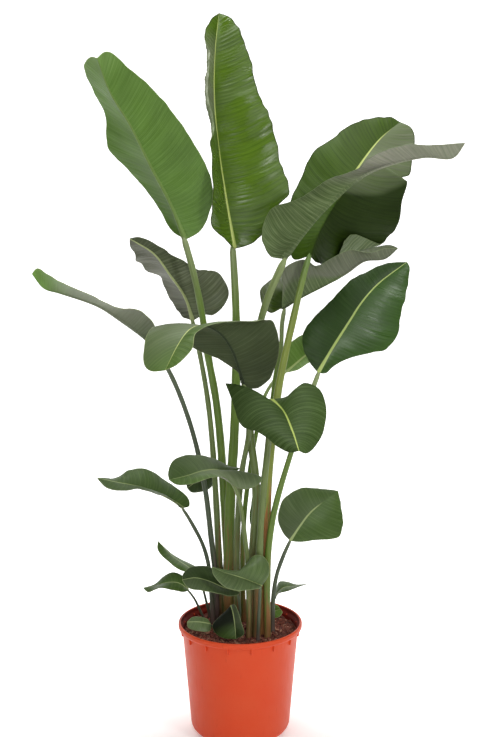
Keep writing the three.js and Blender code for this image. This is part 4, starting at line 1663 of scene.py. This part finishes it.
# ------------------------------------------------------------------------------------- soil
@dataclass
class SoilFill:
    """Potting mix: an uneven bed with crumbs and paler chips of wood on it."""

    plans: Sequence[LeafPlan]
    rings: int = 64
    sides: int = 168
    lump_size: float = 26.0
    lump_height: float = 1.6
    lump_waves: int = 9
    grit_size: float = 5.0
    grit_height: float = 0.7
    grit_waves: int = 12
    edge_gap: float = 0.4
    crumbs: int = 1100
    crumb_sizes: tuple[float, float] = (1.2, 4.2)
    crumb_form: Place = (1, 1, 0.8)
    chips: int = 240
    chip_sizes: tuple[float, float] = (1.6, 3.6)
    chip_form: Place = (2.3, 0.9, 0.5)
    ball_rings: int = 3
    ball_sides: int = 7
    roughness: tuple[float, float] = (0.78, 1.18)
    lean: float = 0.3  # radians
    rise: float = 0.3  # how far a lump's middle stands up, against its size
    spin: float = 6.28  # radians, about a full turn
    wall_room: float = 0.5
    stalk_room: float = 0.6  # against a lump's size
    seed: int = 5
    rng: random.Random = field(init=False)
    lumps: Ripple = field(init=False)
    grit: Ripple = field(init=False)

    def __post_init__(self) -> None:
        """Seeds the random numbers and draws the bed's unevenness."""
        self.rng = random.Random(self.seed)
        self.lumps = Ripple(self.rng, self.lump_size, self.lump_waves)
        self.grit = Ripple(self.rng, self.grit_size, self.grit_waves)

    def build(self) -> None:
        """Makes the bed, the crumbs and the chips."""
        bed = SoilMix("potting mix, damp", "#452015", "#824636").build()
        crumb = SoilMix("potting mix, crumbs", "#54281b", "#985644", grit_mm=1.4).build()
        chip = SoilMix("wood chips, dry", "#8a5a44", "#c09074", grit_mm=1.8).build()
        crumbs = ("soil_crumbs", crumb, self.crumbs, self.crumb_sizes, self.crumb_form)
        chips = ("soil_chips", chip, self.chips, self.chip_sizes, self.chip_form)
        finish_piece(self.make_bed(bed), "potting_soil", "soil")
        finish_piece(self.scatter(*crumbs), "potting_soil")
        finish_piece(self.scatter(*chips), "potting_soil")

    def wall_radius(self, height: float) -> float:
        """Gives the soil's radius inside the pot.

        Args:
            height: how high above the ground.

        Returns:
            The radius, a little less than the wall's.
        """
        share = (height - FOOT_CORNER) / (LIP_FOOT - FOOT_CORNER)
        wall = BODY_FOOT_RADIUS + share * (BODY_TOP_RADIUS - BODY_FOOT_RADIUS)
        return wall - POT_WALL - SOIL_GAP

    def level(self, x: Array | float, y: Array | float) -> Array | float:
        """Gives the height of the bed at places to the right and away."""
        lumps = self.lump_height * self.lumps.at(x, y)
        return SOIL_LEVEL + lumps + self.grit_height * self.grit.at(x, y)

    def make_bed(self, soil: Material) -> Piece:
        """Makes the bed, which fills the pot.

        Args:
            soil: the soil.

        Returns:
            The bed.
        """
        turn = around(self.sides)
        edge = self.wall_radius(SOIL_LEVEL) - self.edge_gap
        radii = np.linspace(1, 0, self.rings + 1)[:-1, None] * edge
        x, y = radii * np.cos(turn), radii * np.sin(turn)
        top = np.stack([x, y, self.level(x, y)], axis=-1)
        foot, floor = FOOT_CORNER + POT_FLOOR + SOIL_GAP, POT_FLOOR + SOIL_GAP
        low = self.wall_radius(foot)
        wall = turned_points([[low - FOOT_CORNER, floor], [low, foot]], self.sides)
        points = np.vstack([wall, top.reshape(-1, 3)])
        under, last = len(points), len(points) - self.sides
        faces = grid_faces(self.rings + 2, self.sides, closed=True)
        faces += cap_faces(under, under + 1, 0, last, self.sides)
        middle = [[0, 0, floor], [0, 0, float(self.level(0.0, 0.0))]]
        return make_object("soil_bed", np.vstack([points, middle]), faces, [soil])

    def clear_of_stalks(self, x: float, y: float, size: float) -> bool:
        """Tells whether no stalk stands on a lump of this size at a place on the bed."""
        return all(
            math.hypot(x - plan.foot[0], y - plan.foot[1]) > plan.thick[0] + self.stalk_room * size
            for plan in self.plans
        )

    def scatter(
        self,
        name: str,
        material: Material,
        count: int,
        sizes: tuple[float, float],
        form: Place,
    ) -> Piece:
        """Strews lumps over the bed, half sunk in it.

        Args:
            name: the piece's name.
            material: what they are made of.
            count: how many there are.
            sizes: the least and the greatest radius.
            form: how long, wide and high one is, against its radius.

        Returns:
            All lumps in one object.
        """
        ball, ball_faces = self.ball()
        lumps, faces = [], []
        edge = self.wall_radius(SOIL_LEVEL)
        while len(lumps) < count:
            size = self.rng.uniform(*sizes)
            reach = math.sqrt(self.rng.random()) * (edge - size * max(form) - self.wall_room)
            turn = self.rng.uniform(0, FULL_TURN)
            x, y = reach * math.cos(turn), reach * math.sin(turn)
            if not self.clear_of_stalks(x, y, size * max(form)):
                continue
            leans = [self.rng.gauss(0, self.lean) for _ in range(2)]
            rotate = np.array(Euler((*leans, self.rng.uniform(0, self.spin))).to_matrix())
            rough = np.array([[self.rng.uniform(*self.roughness)] for _ in ball])
            lump = (ball * rough * np.array(form) * size) @ rotate.T
            start = len(lumps) * len(ball)
            faces += [[start + k for k in face] for face in ball_faces]
            lumps.append(lump + [x, y, self.level(x, y) + self.rise * size * form[2]])
        return make_object(name, np.vstack(lumps), faces, [material])

    def ball(self) -> tuple[Array, Faces]:
        """Makes the rough ball that each lump starts from.

        Returns:
            Its points, of about radius 1, and its faces.
        """
        rings, sides = self.ball_rings, self.ball_sides
        points = [[0, 0, -1]]
        for i in range(rings):
            lean = math.pi * (i + 1) / (rings + 1)
            for turn in around(sides, 0.5 * (i % 2)):
                flat = math.sin(lean)
                points.append([flat * math.cos(turn), flat * math.sin(turn), -math.cos(lean)])
        points.append([0, 0, 1])
        faces = grid_faces(rings, sides, closed=True, start=1)
        faces += cap_faces(0, len(points) - 1, 1, 1 + (rings - 1) * sides, sides)
        return np.array(points, float), faces


# ----------------------------------------------------------------------------------- studio
@dataclass(frozen=True)
class Softbox:
    """A square soft light. Its place, its aim and its side are in metres, power in watts."""

    name: str
    place: Place
    aim: Place
    side: float
    power: float

    def hang(self) -> None:
        """Hangs the light, turned to what it is aimed at."""
        lamp = bpy.data.lights.new(self.name, "AREA")
        lamp.shape = "SQUARE"
        lamp.size = self.side
        lamp.energy = self.power
        light = bpy.data.objects.new(self.name, lamp)
        light.location = self.place
        toward = Vector(self.aim) - Vector(self.place)
        light.rotation_euler = toward.to_track_quat("-Z", "Y").to_euler()
        bpy.context.scene.collection.objects.link(light)


@dataclass
class Studio:
    """Seamless white paper, soft lights and the camera, in metres but for the lens."""

    sweep_width: float = 14.0
    sweep_front: float = -5.0
    sweep_back: float = 5.6
    sweep_height: float = 6.0
    sweep_bend: float = 1.6
    sweep_steps: int = 24
    sky: float = 0.12
    lights: Sequence[Softbox] = (
        Softbox("front", (0.2, -2.9, 1.1), (0.0, 0.0, 0.5), 1.0, 20.0),
        Softbox("left", (-1.2, -1.9, 3.5), (0.05, 0.0, 0.85), 1.2, 17.5),
        Softbox("right", (1.9, -1.9, 2.1), (0.05, 0.0, 0.85), 0.6, 27.0),
        Softbox("top", (0.0, 0.1, 3.2), (0.0, 0.0, 0.9), 1.7, 70.0),
    )
    sensor_mm: float = 36.0
    lens_mm: float = 49.22
    far: float = 50.0

    def build(self) -> None:
        """Makes the paper, the lights and the camera."""
        self.make_sweep()
        self.make_sky()
        for light in self.lights:
            light.hang()
        self.make_camera()

    def make_sweep(self) -> None:
        """Hangs the paper: a floor that bends up into a wall."""
        bend, foot = self.sweep_bend, self.sweep_back - self.sweep_bend
        turns = np.linspace(0, math.pi / 2, self.sweep_steps + 1)
        profile = [
            (self.sweep_front, 0.0),
            *((foot + bend * math.sin(t), bend - bend * math.cos(t)) for t in turns),
            (self.sweep_back, self.sweep_height),
        ]
        half = self.sweep_width / 2
        points = [[side * half, y, z] for y, z in profile for side in (-1, 1)]
        faces = grid_faces(len(profile), 2)
        sweep = make_object("paper_sweep", np.array(points) / MM, faces, [StudioPaper().build()])

    def make_sky(self) -> None:
        """Fills the room with even white light."""
        world = bpy.data.worlds.new("white room")
        world.use_nodes = True
        back = world.node_tree.nodes["Background"]
        back.inputs["Color"].default_value = (1.0, 1.0, 1.0, 1.0)
        back.inputs["Strength"].default_value = self.sky
        bpy.context.scene.world = world

    def make_camera(self) -> None:
        """Puts the camera at the picture's eye."""
        camera = bpy.data.cameras.new("eye")
        camera.sensor_width = self.sensor_mm
        camera.lens = self.lens_mm
        camera.clip_end = self.far
        eye = bpy.data.objects.new("eye", camera)
        eye.location = EYE * MM
        eye.rotation_euler = (math.pi / 2 - EYE_PITCH, 0.0, 0.0)
        bpy.context.scene.collection.objects.link(eye)
        bpy.context.scene.camera = eye
        bpy.context.scene.view_settings.view_transform = "Standard"


# ------------------------------------------------------------------------ the leaves' lines
# Each leaf's shades paint light and shade on its halves, and grey of wax and painted sheen.
LEAVES: list[LeafPlan] = [
    LeafPlan(
        "leaf_tall_centre",
        upper=Skin.DEEP, under=Skin.BACK, rind=Rind.FRESH, pleat=1.5, scallop=1.5, wave=2.2,
        rolls=[Roll(-1, 0.42, 0.86, 12, 150), Roll(1, 0.05, 0.3, 6, -60)],
        shades=[Shade(0.45), Shade(0.6, 1, 1, 0.3), Shade(0.8, 1, 1, 0.3), Shade(0.92, 0.8, 1)],
        foot=[-23, 44], thick=[13, 6.8], bow=0.05,
        stalk=[[-22, 374, 45], [-19, 490, 46], [-12, 594, 48], [-8, 714, 52], [-8, 850, 56]],
        rib=[[-11, 976, 60], [-28, 1074, 68], [-42, 1164, 85], [-52, 1274, 105], [-50, 1374, 128],
          [-42, 1448, 150]],
        left=[[-32, 996, 35], [-56, 1022, -7], [-54, 1080, -25], [-56, 1164, -10], [-65, 1234, 10],
          [-77, 1304, 40], [-71, 1350, 65], [-71, 1408, 105], [-56, 1438, 138]],
        right=[[22, 986, 62], [48, 1010, 68], [72, 1056, 74], [98, 1087, 82], [80, 1154, 100],
          [62, 1234, 112], [32, 1302, 125], [20, 1358, 135], [0, 1410, 143], [-22, 1440, 148]],
    ),
    LeafPlan(
        "leaf_tall_left",
        upper=Skin.FRESH, under=Skin.PALE_BACK, rind=Rind.FRESH, pleat=0.9,
        shades=[Shade(0, 0.9, 0.85), Shade(0.85), Shade(0.97, 1.5, 1.3, 0.1, 0.15)],
        foot=[-20, 70], thick=[10, 6], bow=0.05,
        stalk=[[-24, 354, 71], [-29, 434, 71], [-34, 514, 69], [-38, 580, 66], [-48, 674, 55],
          [-64, 764, 40], [-76, 846, 25], [-92, 924, 8]],
        rib=[[-109, 994, -5], [-140, 1068, -18], [-180, 1144, -45], [-220, 1224, -78], [-260, 1290, -108],
          [-286, 1358, -140]],
        left=[[-80, 1012, 5], [-55, 1070, 5], [-60, 1124, 0], [-103, 1204, -25], [-157, 1278, -60],
          [-220, 1336, -100], [-266, 1372, -128]],
        right=[[-137, 1016, 12], [-177, 1080, 15], [-220, 1130, 10], [-264, 1180, -6], [-268, 1238, -35],
          [-290, 1288, -58], [-312, 1342, -105], [-298, 1360, -130]],
    ),
    LeafPlan(
        "leaf_big_right",
        # Its right half is painted in deep shade below about two fifths of the rib, and its rib is not
        # pale there.
        upper=Skin.BROAD, under=Skin.BACK, rind=Rind.WARM, pleat=1.2, rib_seen=(0.42, 0.88),
        rolls=[Roll(1, 0.13, 0.43, 62, 178, 0.13, 4)], lean=-0.26,
        shades=[Shade(0, 0.6, 0.3), Shade(0.4, 0.6, 0.24), Shade(0.43, 0.62, 0.5, 0.02, 0.12),
          Shade(0.6, 0.62, 0.68, 0.04, 0.26), Shade(1, 0.6, 0.7, 0.02, 0.18)],
        shades_below=[Shade(0, 1, 0.8)],
        foot=[48, -22], thick=[10.5, 6.2], bow=0.04,
        stalk=[[54, 474, -16], [63, 594, -8], [80, 714, -2], [106, 834, 8], [130, 934, 18]],
        rib=[[140, 962, 22], [156, 1004, 34], [190, 1066, 62], [234, 1136, 102], [280, 1196, 142],
          [320, 1230, 170]],
        left=[[106, 956, 40], [98, 1020, 62], [100, 1070, 78], [120, 1114, 94], [146, 1168, 114],
          [180, 1194, 128], [220, 1224, 146], [264, 1238, 160], [302, 1239, 169]],
        right=[[152, 950, 60], [172, 946, 100], [196, 952, 122], [222, 967, 136], [256, 982, 146],
          [288, 992, 148], [316, 1026, 112], [325, 1074, 92], [334, 1110, 88], [321, 1117, 96],
          [338, 1124, 112], [344, 1160, 140], [350, 1196, 156], [344, 1218, 166]],
    ),
    LeafPlan(
        "leaf_long_right",
        upper=Skin.FRESH, under=Skin.BACK, rind=Rind.OLIVE, pleat=1.3, rib_seen=(2, 3),
        shades=[Shade(0, 0.75, 0.85), Shade(0.45, 0.8, 0.9), Shade(0.62, 1, 1, 0.5, 0.6),
          Shade(1, 1.5, 1.3, 0.3, 0.5)],
        foot=[22, -24], thick=[8.5, 7], bow=0.07,
        stalk=[[26, 374, -24], [32, 474, -23], [30, 530, -18], [23, 584, -10], [18, 650, -5],
          [18, 704, -5], [30, 784, -8], [54, 874, -18]],
        rib=[[86, 956, -28], [120, 998, -50], [180, 1066, -78], [240, 1118, -102], [290, 1142, -124],
          [370, 1160, -156], [426, 1159, -176], [450, 1188, -186]],
        left=[[100, 990, 10], [140, 1040, 24], [186, 1086, 10], [240, 1122, -20], [296, 1146, -62],
          [372, 1163, -116], [424, 1176, -160]],
        right=[[60, 962, -12], [44, 1000, 0], [52, 1042, 4], [64, 1058, -2], [120, 1078, -30],
          [174, 1114, -62], [236, 1136, -100], [254, 1156, -124], [282, 1170, -142], [326, 1185, -160],
          [380, 1184, -176], [430, 1187, -186]],
    ),
    LeafPlan(
        "leaf_curled_right",
        upper=Skin.DEEP, under=Skin.BACK, rind=Rind.FRESH, pleat=1.1, lean=0.5, rib_seen=(2, 3),
        shades=[Shade(0, 0.3, 0.55), Shade(0.2, 0.3, 0.9), Shade(0.48, 0.4, 1.0),
          Shade(0.6, 0.6, 0.6, 0.24, 0.28), Shade(1, 0.6, 0.6, 0.2, 0.2)],
        foot=[34, -10], thick=[6, 4.5],
        stalk=[[43, 474, 1], [57, 594, 9], [70, 714, 16], [82, 780, 22], [84, 826, 30]],
        rib=[[84, 858, 36], [120, 876, 36], [170, 902, 36], [214, 928, 34], [250, 952, 30],
          [290, 957, 26], [316, 978, 22]],
        left=[[60, 848, 52], [44, 866, 66], [40, 894, 74], [60, 914, 80], [110, 934, 84], [160, 944, 78],
          [220, 962, 60], [260, 978, 46], [300, 984, 30]],
        right=[[85, 892, 34], [88, 936, 34], [128, 955, 36], [152, 942, 36], [180, 956, 34],
          [218, 974, 30], [256, 970, 22], [292, 976, 18]],
    ),
    LeafPlan(
        "leaf_glossy_right",
        upper=Skin.GLOSSY, under=Skin.BACK, rind=Rind.FRESH, pleat=1.1,
        shades=[Shade(0, 0.5, 0.85)],
        foot=[55, -40], thick=[7.5, 4.5], bow=0.05,
        stalk=[[55, 344, -38], [63, 422, -35], [75, 478, -32], [102, 568, -28], [124, 640, -20],
          [146, 698, -11]],
        rib=[[156, 728, -6], [180, 770, 15], [218, 830, 48], [244, 870, 68], [276, 906, 88],
          [334, 950, 112]],
        left=[[136, 754, 15], [124, 784, 35], [126, 808, 48], [144, 834, 58], [180, 870, 72],
          [220, 912, 88], [260, 934, 100], [296, 948, 108]],
        right=[[172, 728, 5], [190, 744, 15], [220, 758, 28], [260, 768, 45], [292, 776, 58],
          [314, 804, 72], [322, 844, 85], [330, 878, 95], [338, 918, 104], [339, 940, 110]],
    ),
    LeafPlan(
        "leaf_behind_right",
        upper=Skin.YOUNG, under=Skin.PALE_BACK, rind=Rind.FRESH, pleat=0.8,
        foot=[6, 42], thick=[6, 3.5],
        stalk=[[6, 394, 43], [14, 494, 45], [32, 604, 50], [48, 678, 58], [70, 714, 66]],
        rib=[[90, 728, 74], [120, 754, 94], [164, 790, 118], [210, 824, 140]],
        left=[[88, 752, 85], [92, 776, 100], [106, 794, 112], [130, 806, 124], [170, 822, 136]],
        right=[[114, 734, 95], [142, 750, 113], [180, 774, 130], [204, 804, 138]],
    ),
    LeafPlan(
        "leaf_under_left",
        upper=Skin.DEEP, rind=Rind.OLIVE, pleat=1.9, scallop=2.6,
        shades=[Shade(0, 0.95, 0.7, 0, 0.1), Shade(0.4, 1.1, 0.85, 0.06, 0.22),
          Shade(0.8, 0.8, 0.8, 0, 0.2)],
        foot=[-40, 64], thick=[8, 4.5], bow=0.05,
        stalk=[[-42, 354, 63], [-48, 474, 60], [-56, 594, 56], [-66, 684, 54], [-84, 784, 51]],
        rib=[[-94, 832, 50], [-110, 880, 44], [-140, 924, 25], [-172, 966, -5], [-221, 997, -40]],
        left=[[-70, 846, 60], [-56, 844, 66], [-36, 856, 72], [-24, 880, 72], [-28, 910, 66],
          [-52, 932, 60], [-84, 934, 52], [-112, 952, 40], [-140, 968, 22], [-176, 990, -8],
          [-204, 1000, -30]],
        right=[[-119, 844, 70], [-135, 872, 86], [-149, 896, 84], [-158, 918, 75], [-182, 934, 58],
          [-203, 948, 35], [-212, 968, 2], [-220, 984, -25]],
    ),
    LeafPlan(
        "leaf_far_left",
        upper=Skin.DEEP, under=Skin.PALE_BACK, pleat=0.8, rib_seen=(2, 3),
        shades=[Shade(0, 0.3, 0.3, 0.12, 0.12), Shade(0.4, 0.5, 0.5, 0.42, 0.42),
          Shade(0.7, 0.6, 0.6, 0.34, 0.34), Shade(0.86, 1.2, 1.2, 0.1, 0.1), Shade(1, 1.5, 1.5)],
        foot=[-51, 47], thick=[7, 4.6],
        stalk=[[-50, 334, 46], [-57, 394, 44], [-69, 494, 37], [-90, 594, 24], [-116, 674, 8],
          [-144, 736, -6]],
        rib=[[-168, 778, -16], [-190, 798, -26], [-240, 834, -50], [-284, 862, -75], [-360, 888, -118],
          [-392, 898, -135], [-416, 927, -150]],
        left=[[-166, 798, -30], [-172, 824, -50], [-186, 841, -65], [-208, 855, -80], [-250, 862, -102],
          [-300, 882, -125], [-344, 904, -148], [-384, 926, -158], [-406, 937, -156]],
        right=[[-172, 800, 5], [-186, 828, 20], [-240, 853, 5], [-290, 868, -22], [-350, 890, -62],
          [-390, 910, -100], [-410, 930, -132]],
    ),
    LeafPlan(
        "leaf_arched_left",
        upper=Skin.FRESH, under=Skin.SHADE_BACK, rind=Rind.OLIVE, pleat=1.0,
        shades=[Shade(0, 0.7, 0.7, 0.1, 0.1), Shade(0.45, 0.8, 0.8, 0.2, 0.3),
          Shade(0.6, 0.55, 0.5, 0.16, 0.24), Shade(0.8, 0.7, 0.62, 0.05, 0.13),
          Shade(1, 0.85, 0.9, 0, 0)],
        shades_below=[Shade(0, 0.85, 0.85)],
        foot=[-6, 24], thick=[8, 4.4], bow=0.05,
        stalk=[[-6, 374, 20], [-2, 474, 12], [5, 538, -6], [17, 606, -31], [15, 664, -38]],
        rib=[[10, 698, -42], [-16, 774, -75], [-42, 809, -105], [-74, 823, -140], [-100, 815, -165],
          [-124, 784, -190], [-150, 733, -205]],
        left=[[36, 698, -35], [60, 718, -32], [76, 762, -45], [78, 790, -60], [64, 832, -85],
          [20, 832, -120], [-40, 828, -160], [-88, 806, -185], [-96, 776, -200], [-125, 745, -208]],
        right=[[0, 724, -50], [-20, 742, -58], [-56, 762, -68], [-90, 776, -82], [-130, 804, -102],
          [-166, 822, -125], [-184, 808, -150], [-192, 778, -175], [-191, 744, -192], [-176, 731, -202]],
    ),
    LeafPlan(
        "leaf_drooping_right",
        upper=Skin.VEINED, under=Skin.BACK, rind=Rind.OLIVE, pleat=0.45,
        shades=[Shade(0, 0.72, 0.56), Shade(1, 0.68, 0.54)],
        foot=[34, -40], thick=[8.5, 5.5], bow=0.1,
        stalk=[[42, 434, -44], [49, 514, -48], [57, 594, -55], [62, 648, -66]],
        rib=[[62, 676, -80], [86, 652, -115], [104, 614, -165], [118, 572, -220]],
        left=[[84, 678, -70], [104, 686, -65], [128, 709, -70], [157, 698, -85], [172, 664, -110],
          [170, 620, -145], [154, 585, -180], [133, 567, -210]],
        right=[[44, 676, -78], [20, 678, -80], [-4, 686, -85], [-29, 709, -86], [-22, 690, -100],
          [-12, 664, -115], [-4, 638, -130], [6, 620, -140], [30, 612, -155], [52, 600, -170],
          [74, 582, -187], [100, 569, -207]],
    ),
    LeafPlan(
        "leaf_low_left",
        pleat=0.8,
        shades=[Shade(0, 0.8, 0.85)], foot=[-58, 32], thick=[5.5, 3.5],
        stalk=[[-62, 340, 31], [-74, 384, 28], [-100, 434, 20]],
        rib=[[-112, 458, 16], [-136, 474, 10], [-164, 488, 2], [-200, 500, -8], [-240, 508, -20],
          [-286, 518, -35]],
        left=[[-121, 460, -6], [-130, 469, -20], [-160, 484, -38], [-200, 494, -45], [-230, 492, -50],
          [-266, 498, -50], [-278, 508, -42]],
        right=[[-102, 462, 28], [-104, 476, 38], [-120, 492, 48], [-152, 516, 48], [-184, 534, 40],
          [-218, 534, 25], [-246, 520, 5]],
    ),
    LeafPlan(
        "leaf_arched_low",
        rind=Rind.OLIVE, pleat=0.8,
        shades=[Shade(0, 1.3, 0.9), Shade(0.4, 1.6, 0.9, 0.34, 0.12),
          Shade(0.8, 1.5, 0.8)],
        foot=[18, -47], thick=[6, 4],
        stalk=[[16, 344, -48], [11, 394, -50], [6, 434, -53], [0, 470, -58], [-9, 498, -63]],
        rib=[[-20, 522, -70], [-44, 534, -92], [-74, 532, -112], [-106, 522, -128], [-142, 514, -140]],
        left=[[12, 526, -80], [44, 518, -90], [32, 502, -110], [8, 496, -122], [-12, 504, -130],
          [-32, 520, -138], [-60, 518, -150], [-100, 504, -162], [-126, 504, -157]],
        right=[[0, 538, -60], [-20, 542, -52], [-50, 556, -50], [-80, 562, -62], [-112, 562, -82],
          [-136, 550, -105], [-144, 528, -128]],
    ),
    LeafPlan(
        "leaf_low_right",
        pleat=0.8,
        shades=[Shade(0, 0.62, 0.85, 0.1), Shade(1, 0.95, 1.1)], rib_seen=(-1, 0.66),
        foot=[66, -12], thick=[5.5, 3.4],
        stalk=[[67, 284, -12], [74, 326, -12], [90, 370, -11]],
        rib=[[100, 392, -8], [120, 422, 12], [140, 448, 34], [166, 470, 56], [196, 492, 78]],
        left=[[86, 408, 0], [76, 438, 20], [86, 474, 45], [120, 496, 65], [156, 497, 78], [180, 495, 82]],
        right=[[120, 390, 5], [156, 394, 22], [196, 400, 42], [206, 428, 58], [202, 464, 72]],
    ),
    LeafPlan(
        "leaf_low_back",
        pleat=0.6,
        shades=[Shade(0, 0.5, 0.5)], foot=[-34, 92], thick=[3.5, 2.5],
        stalk=[[-40, 384, 94], [-44, 454, 96]],
        rib=[[-50, 526, 100], [-76, 518, 96], [-106, 498, 90]],
        left=[[-58, 500, 112], [-84, 489, 104], [-98, 490, 95]],
        right=[[-58, 548, 92], [-84, 546, 86], [-108, 520, 84]],
    ),
    LeafPlan(
        "leaf_shaded_middle",
        pleat=0.6, foot=[46, 14], thick=[3.5, 2.5], bow=0.05,
        stalk=[[44, 300, 16]],
        rib=[[44, 362, 20], [46, 414, 26], [48, 464, 33], [48, 512, 40]],
        left=[[28, 370, 24], [22, 384, 27], [30, 402, 28], [20, 430, 31], [22, 464, 36], [30, 494, 39]],
        right=[[56, 378, 36], [60, 424, 48], [55, 474, 50]],
    ),
    LeafPlan(
        "leaf_small_upper_left",
        foot=[-66, 60], thick=[3.2, 2.2],
        stalk=[[-66, 266, 58], [-74, 296, 53]],
        rib=[[-82, 322, 48], [-104, 340, 40], [-136, 362, 28], [-164, 392, 14]],
        left=[[-100, 328, 25], [-124, 336, 10], [-154, 360, 2], [-165, 376, 5]],
        right=[[-86, 338, 62], [-116, 354, 58], [-148, 376, 38]],
    ),
    LeafPlan(
        "leaf_small_left",
        foot=[-74, 20], thick=[3.2, 2.2],
        stalk=[[-78, 250, 18], [-92, 278, 15]],
        rib=[[-102, 294, 12], [-124, 308, 4], [-150, 308, -5], [-170, 302, -12], [-194, 298, -20]],
        left=[[-112, 290, -8], [-136, 294, -24], [-160, 298, -34], [-184, 290, -32]],
        right=[[-114, 320, 28], [-134, 328, 26], [-154, 320, 16], [-172, 306, 2]],
    ),
    LeafPlan(
        "leaf_small_front_left",
        shades=[Shade(0, 0.6, 0.42, 0.06)], foot=[-4, -40], thick=[3.6, 2.6], bow=0.08,
        stalk=[[0, 254, -50]],
        rib=[[0, 290, -66], [-32, 298, -78], [-64, 312, -90], [-90, 318, -100], [-116, 314, -112]],
        left=[[-4, 284, -80], [-24, 282, -98], [-50, 288, -112], [-80, 294, -120], [-104, 298, -120]],
        right=[[0, 306, -56], [-24, 322, -50], [-52, 336, -52], [-74, 342, -62], [-98, 340, -78],
          [-114, 326, -98]],
    ),
    LeafPlan(
        "leaf_small_front_right",
        shades=[Shade(0, 0.9, 1.0, 0.1, 0.08)], foot=[36, -64], thick=[3.6, 2.6], bow=0.08,
        stalk=[[38, 254, -65]],
        rib=[[44, 302, -68], [20, 312, -80], [-8, 322, -92], [-34, 330, -102], [-56, 340, -112]],
        left=[[38, 296, -85], [20, 294, -105], [-4, 292, -118], [-26, 298, -125], [-44, 312, -125],
          [-55, 328, -119]],
        right=[[56, 324, -62], [56, 346, -58], [44, 362, -58], [28, 362, -62], [14, 346, -68],
          [0, 334, -78], [-24, 334, -94]],
    ),
    LeafPlan(
        "leaf_small_right",
        foot=[52, 66], thick=[3.2, 2],
        stalk=[[62, 262, 62]],
        rib=[[70, 282, 56], [86, 298, 48], [106, 302, 40], [134, 306, 28]],
        left=[[72, 294, 68], [78, 310, 75], [94, 310, 68], [116, 305, 46]],
        right=[[80, 288, 38], [100, 294, 24], [120, 301, 20]],
    ),
    LeafPlan(
        "leaf_tiny_right",
        upper=Skin.YOUNG,
        foot=[56, 82], thick=[2.6, 2], bow=0.08,
        stalk=[],
        rib=[[57, 249, 74], [66, 251, 68], [81, 256, 62]],
        left=[[55, 257, 76], [62, 265, 72], [74, 264, 66]],
        right=[[66, 239, 60], [78, 240, 55], [85, 249, 58]],
    ),
    LeafPlan(
        "leaf_tiny_front",
        shades=[Shade(0, 0.5, 0.08, 0.08), Shade(0.5, 0.5, 0.08, 0.08),
          Shade(0.75, 0.4, 0.9)],
        foot=[-22, -26], thick=[3, 2.2],
        stalk=[[-21, 236, -30]],
        rib=[[-18, 264, -46], [-14, 250, -62], [-10, 224, -74], [-8, 196, -80]],
        left=[[-10, 264, -56], [-3, 250, -68], [3, 228, -78], [8, 206, -84]],
        right=[[-28, 252, -50], [-46, 236, -50], [-56, 222, -54], [-50, 208, -64], [-34, 198, -76]],
    ),
    LeafPlan(
        "leaf_tiny_left",
        shades=[Shade(0, 1.1, 1.0, 0.14, 0.1)], foot=[-52, -20], thick=[2.6, 2],
        stalk=[],
        rib=[[-58, 226, -30], [-82, 230, -38], [-106, 230, -42]],
        left=[[-60, 212, -44], [-84, 212, -52], [-104, 219, -48]],
        right=[[-66, 236, -22], [-94, 240, -30]],
    ),
]


def main() -> None:
    """Builds the plant, the pot, the soil and the studio round the frame."""
    logging.basicConfig(level=logging.INFO, format="%(message)s")
    Studio().build()
    NurseryPot().build()
    SoilFill(LEAVES).build()
    for number, plan in enumerate(LEAVES, start=1):
        Leaf(plan, number).build()


if __name__ == "__main__":
    main()
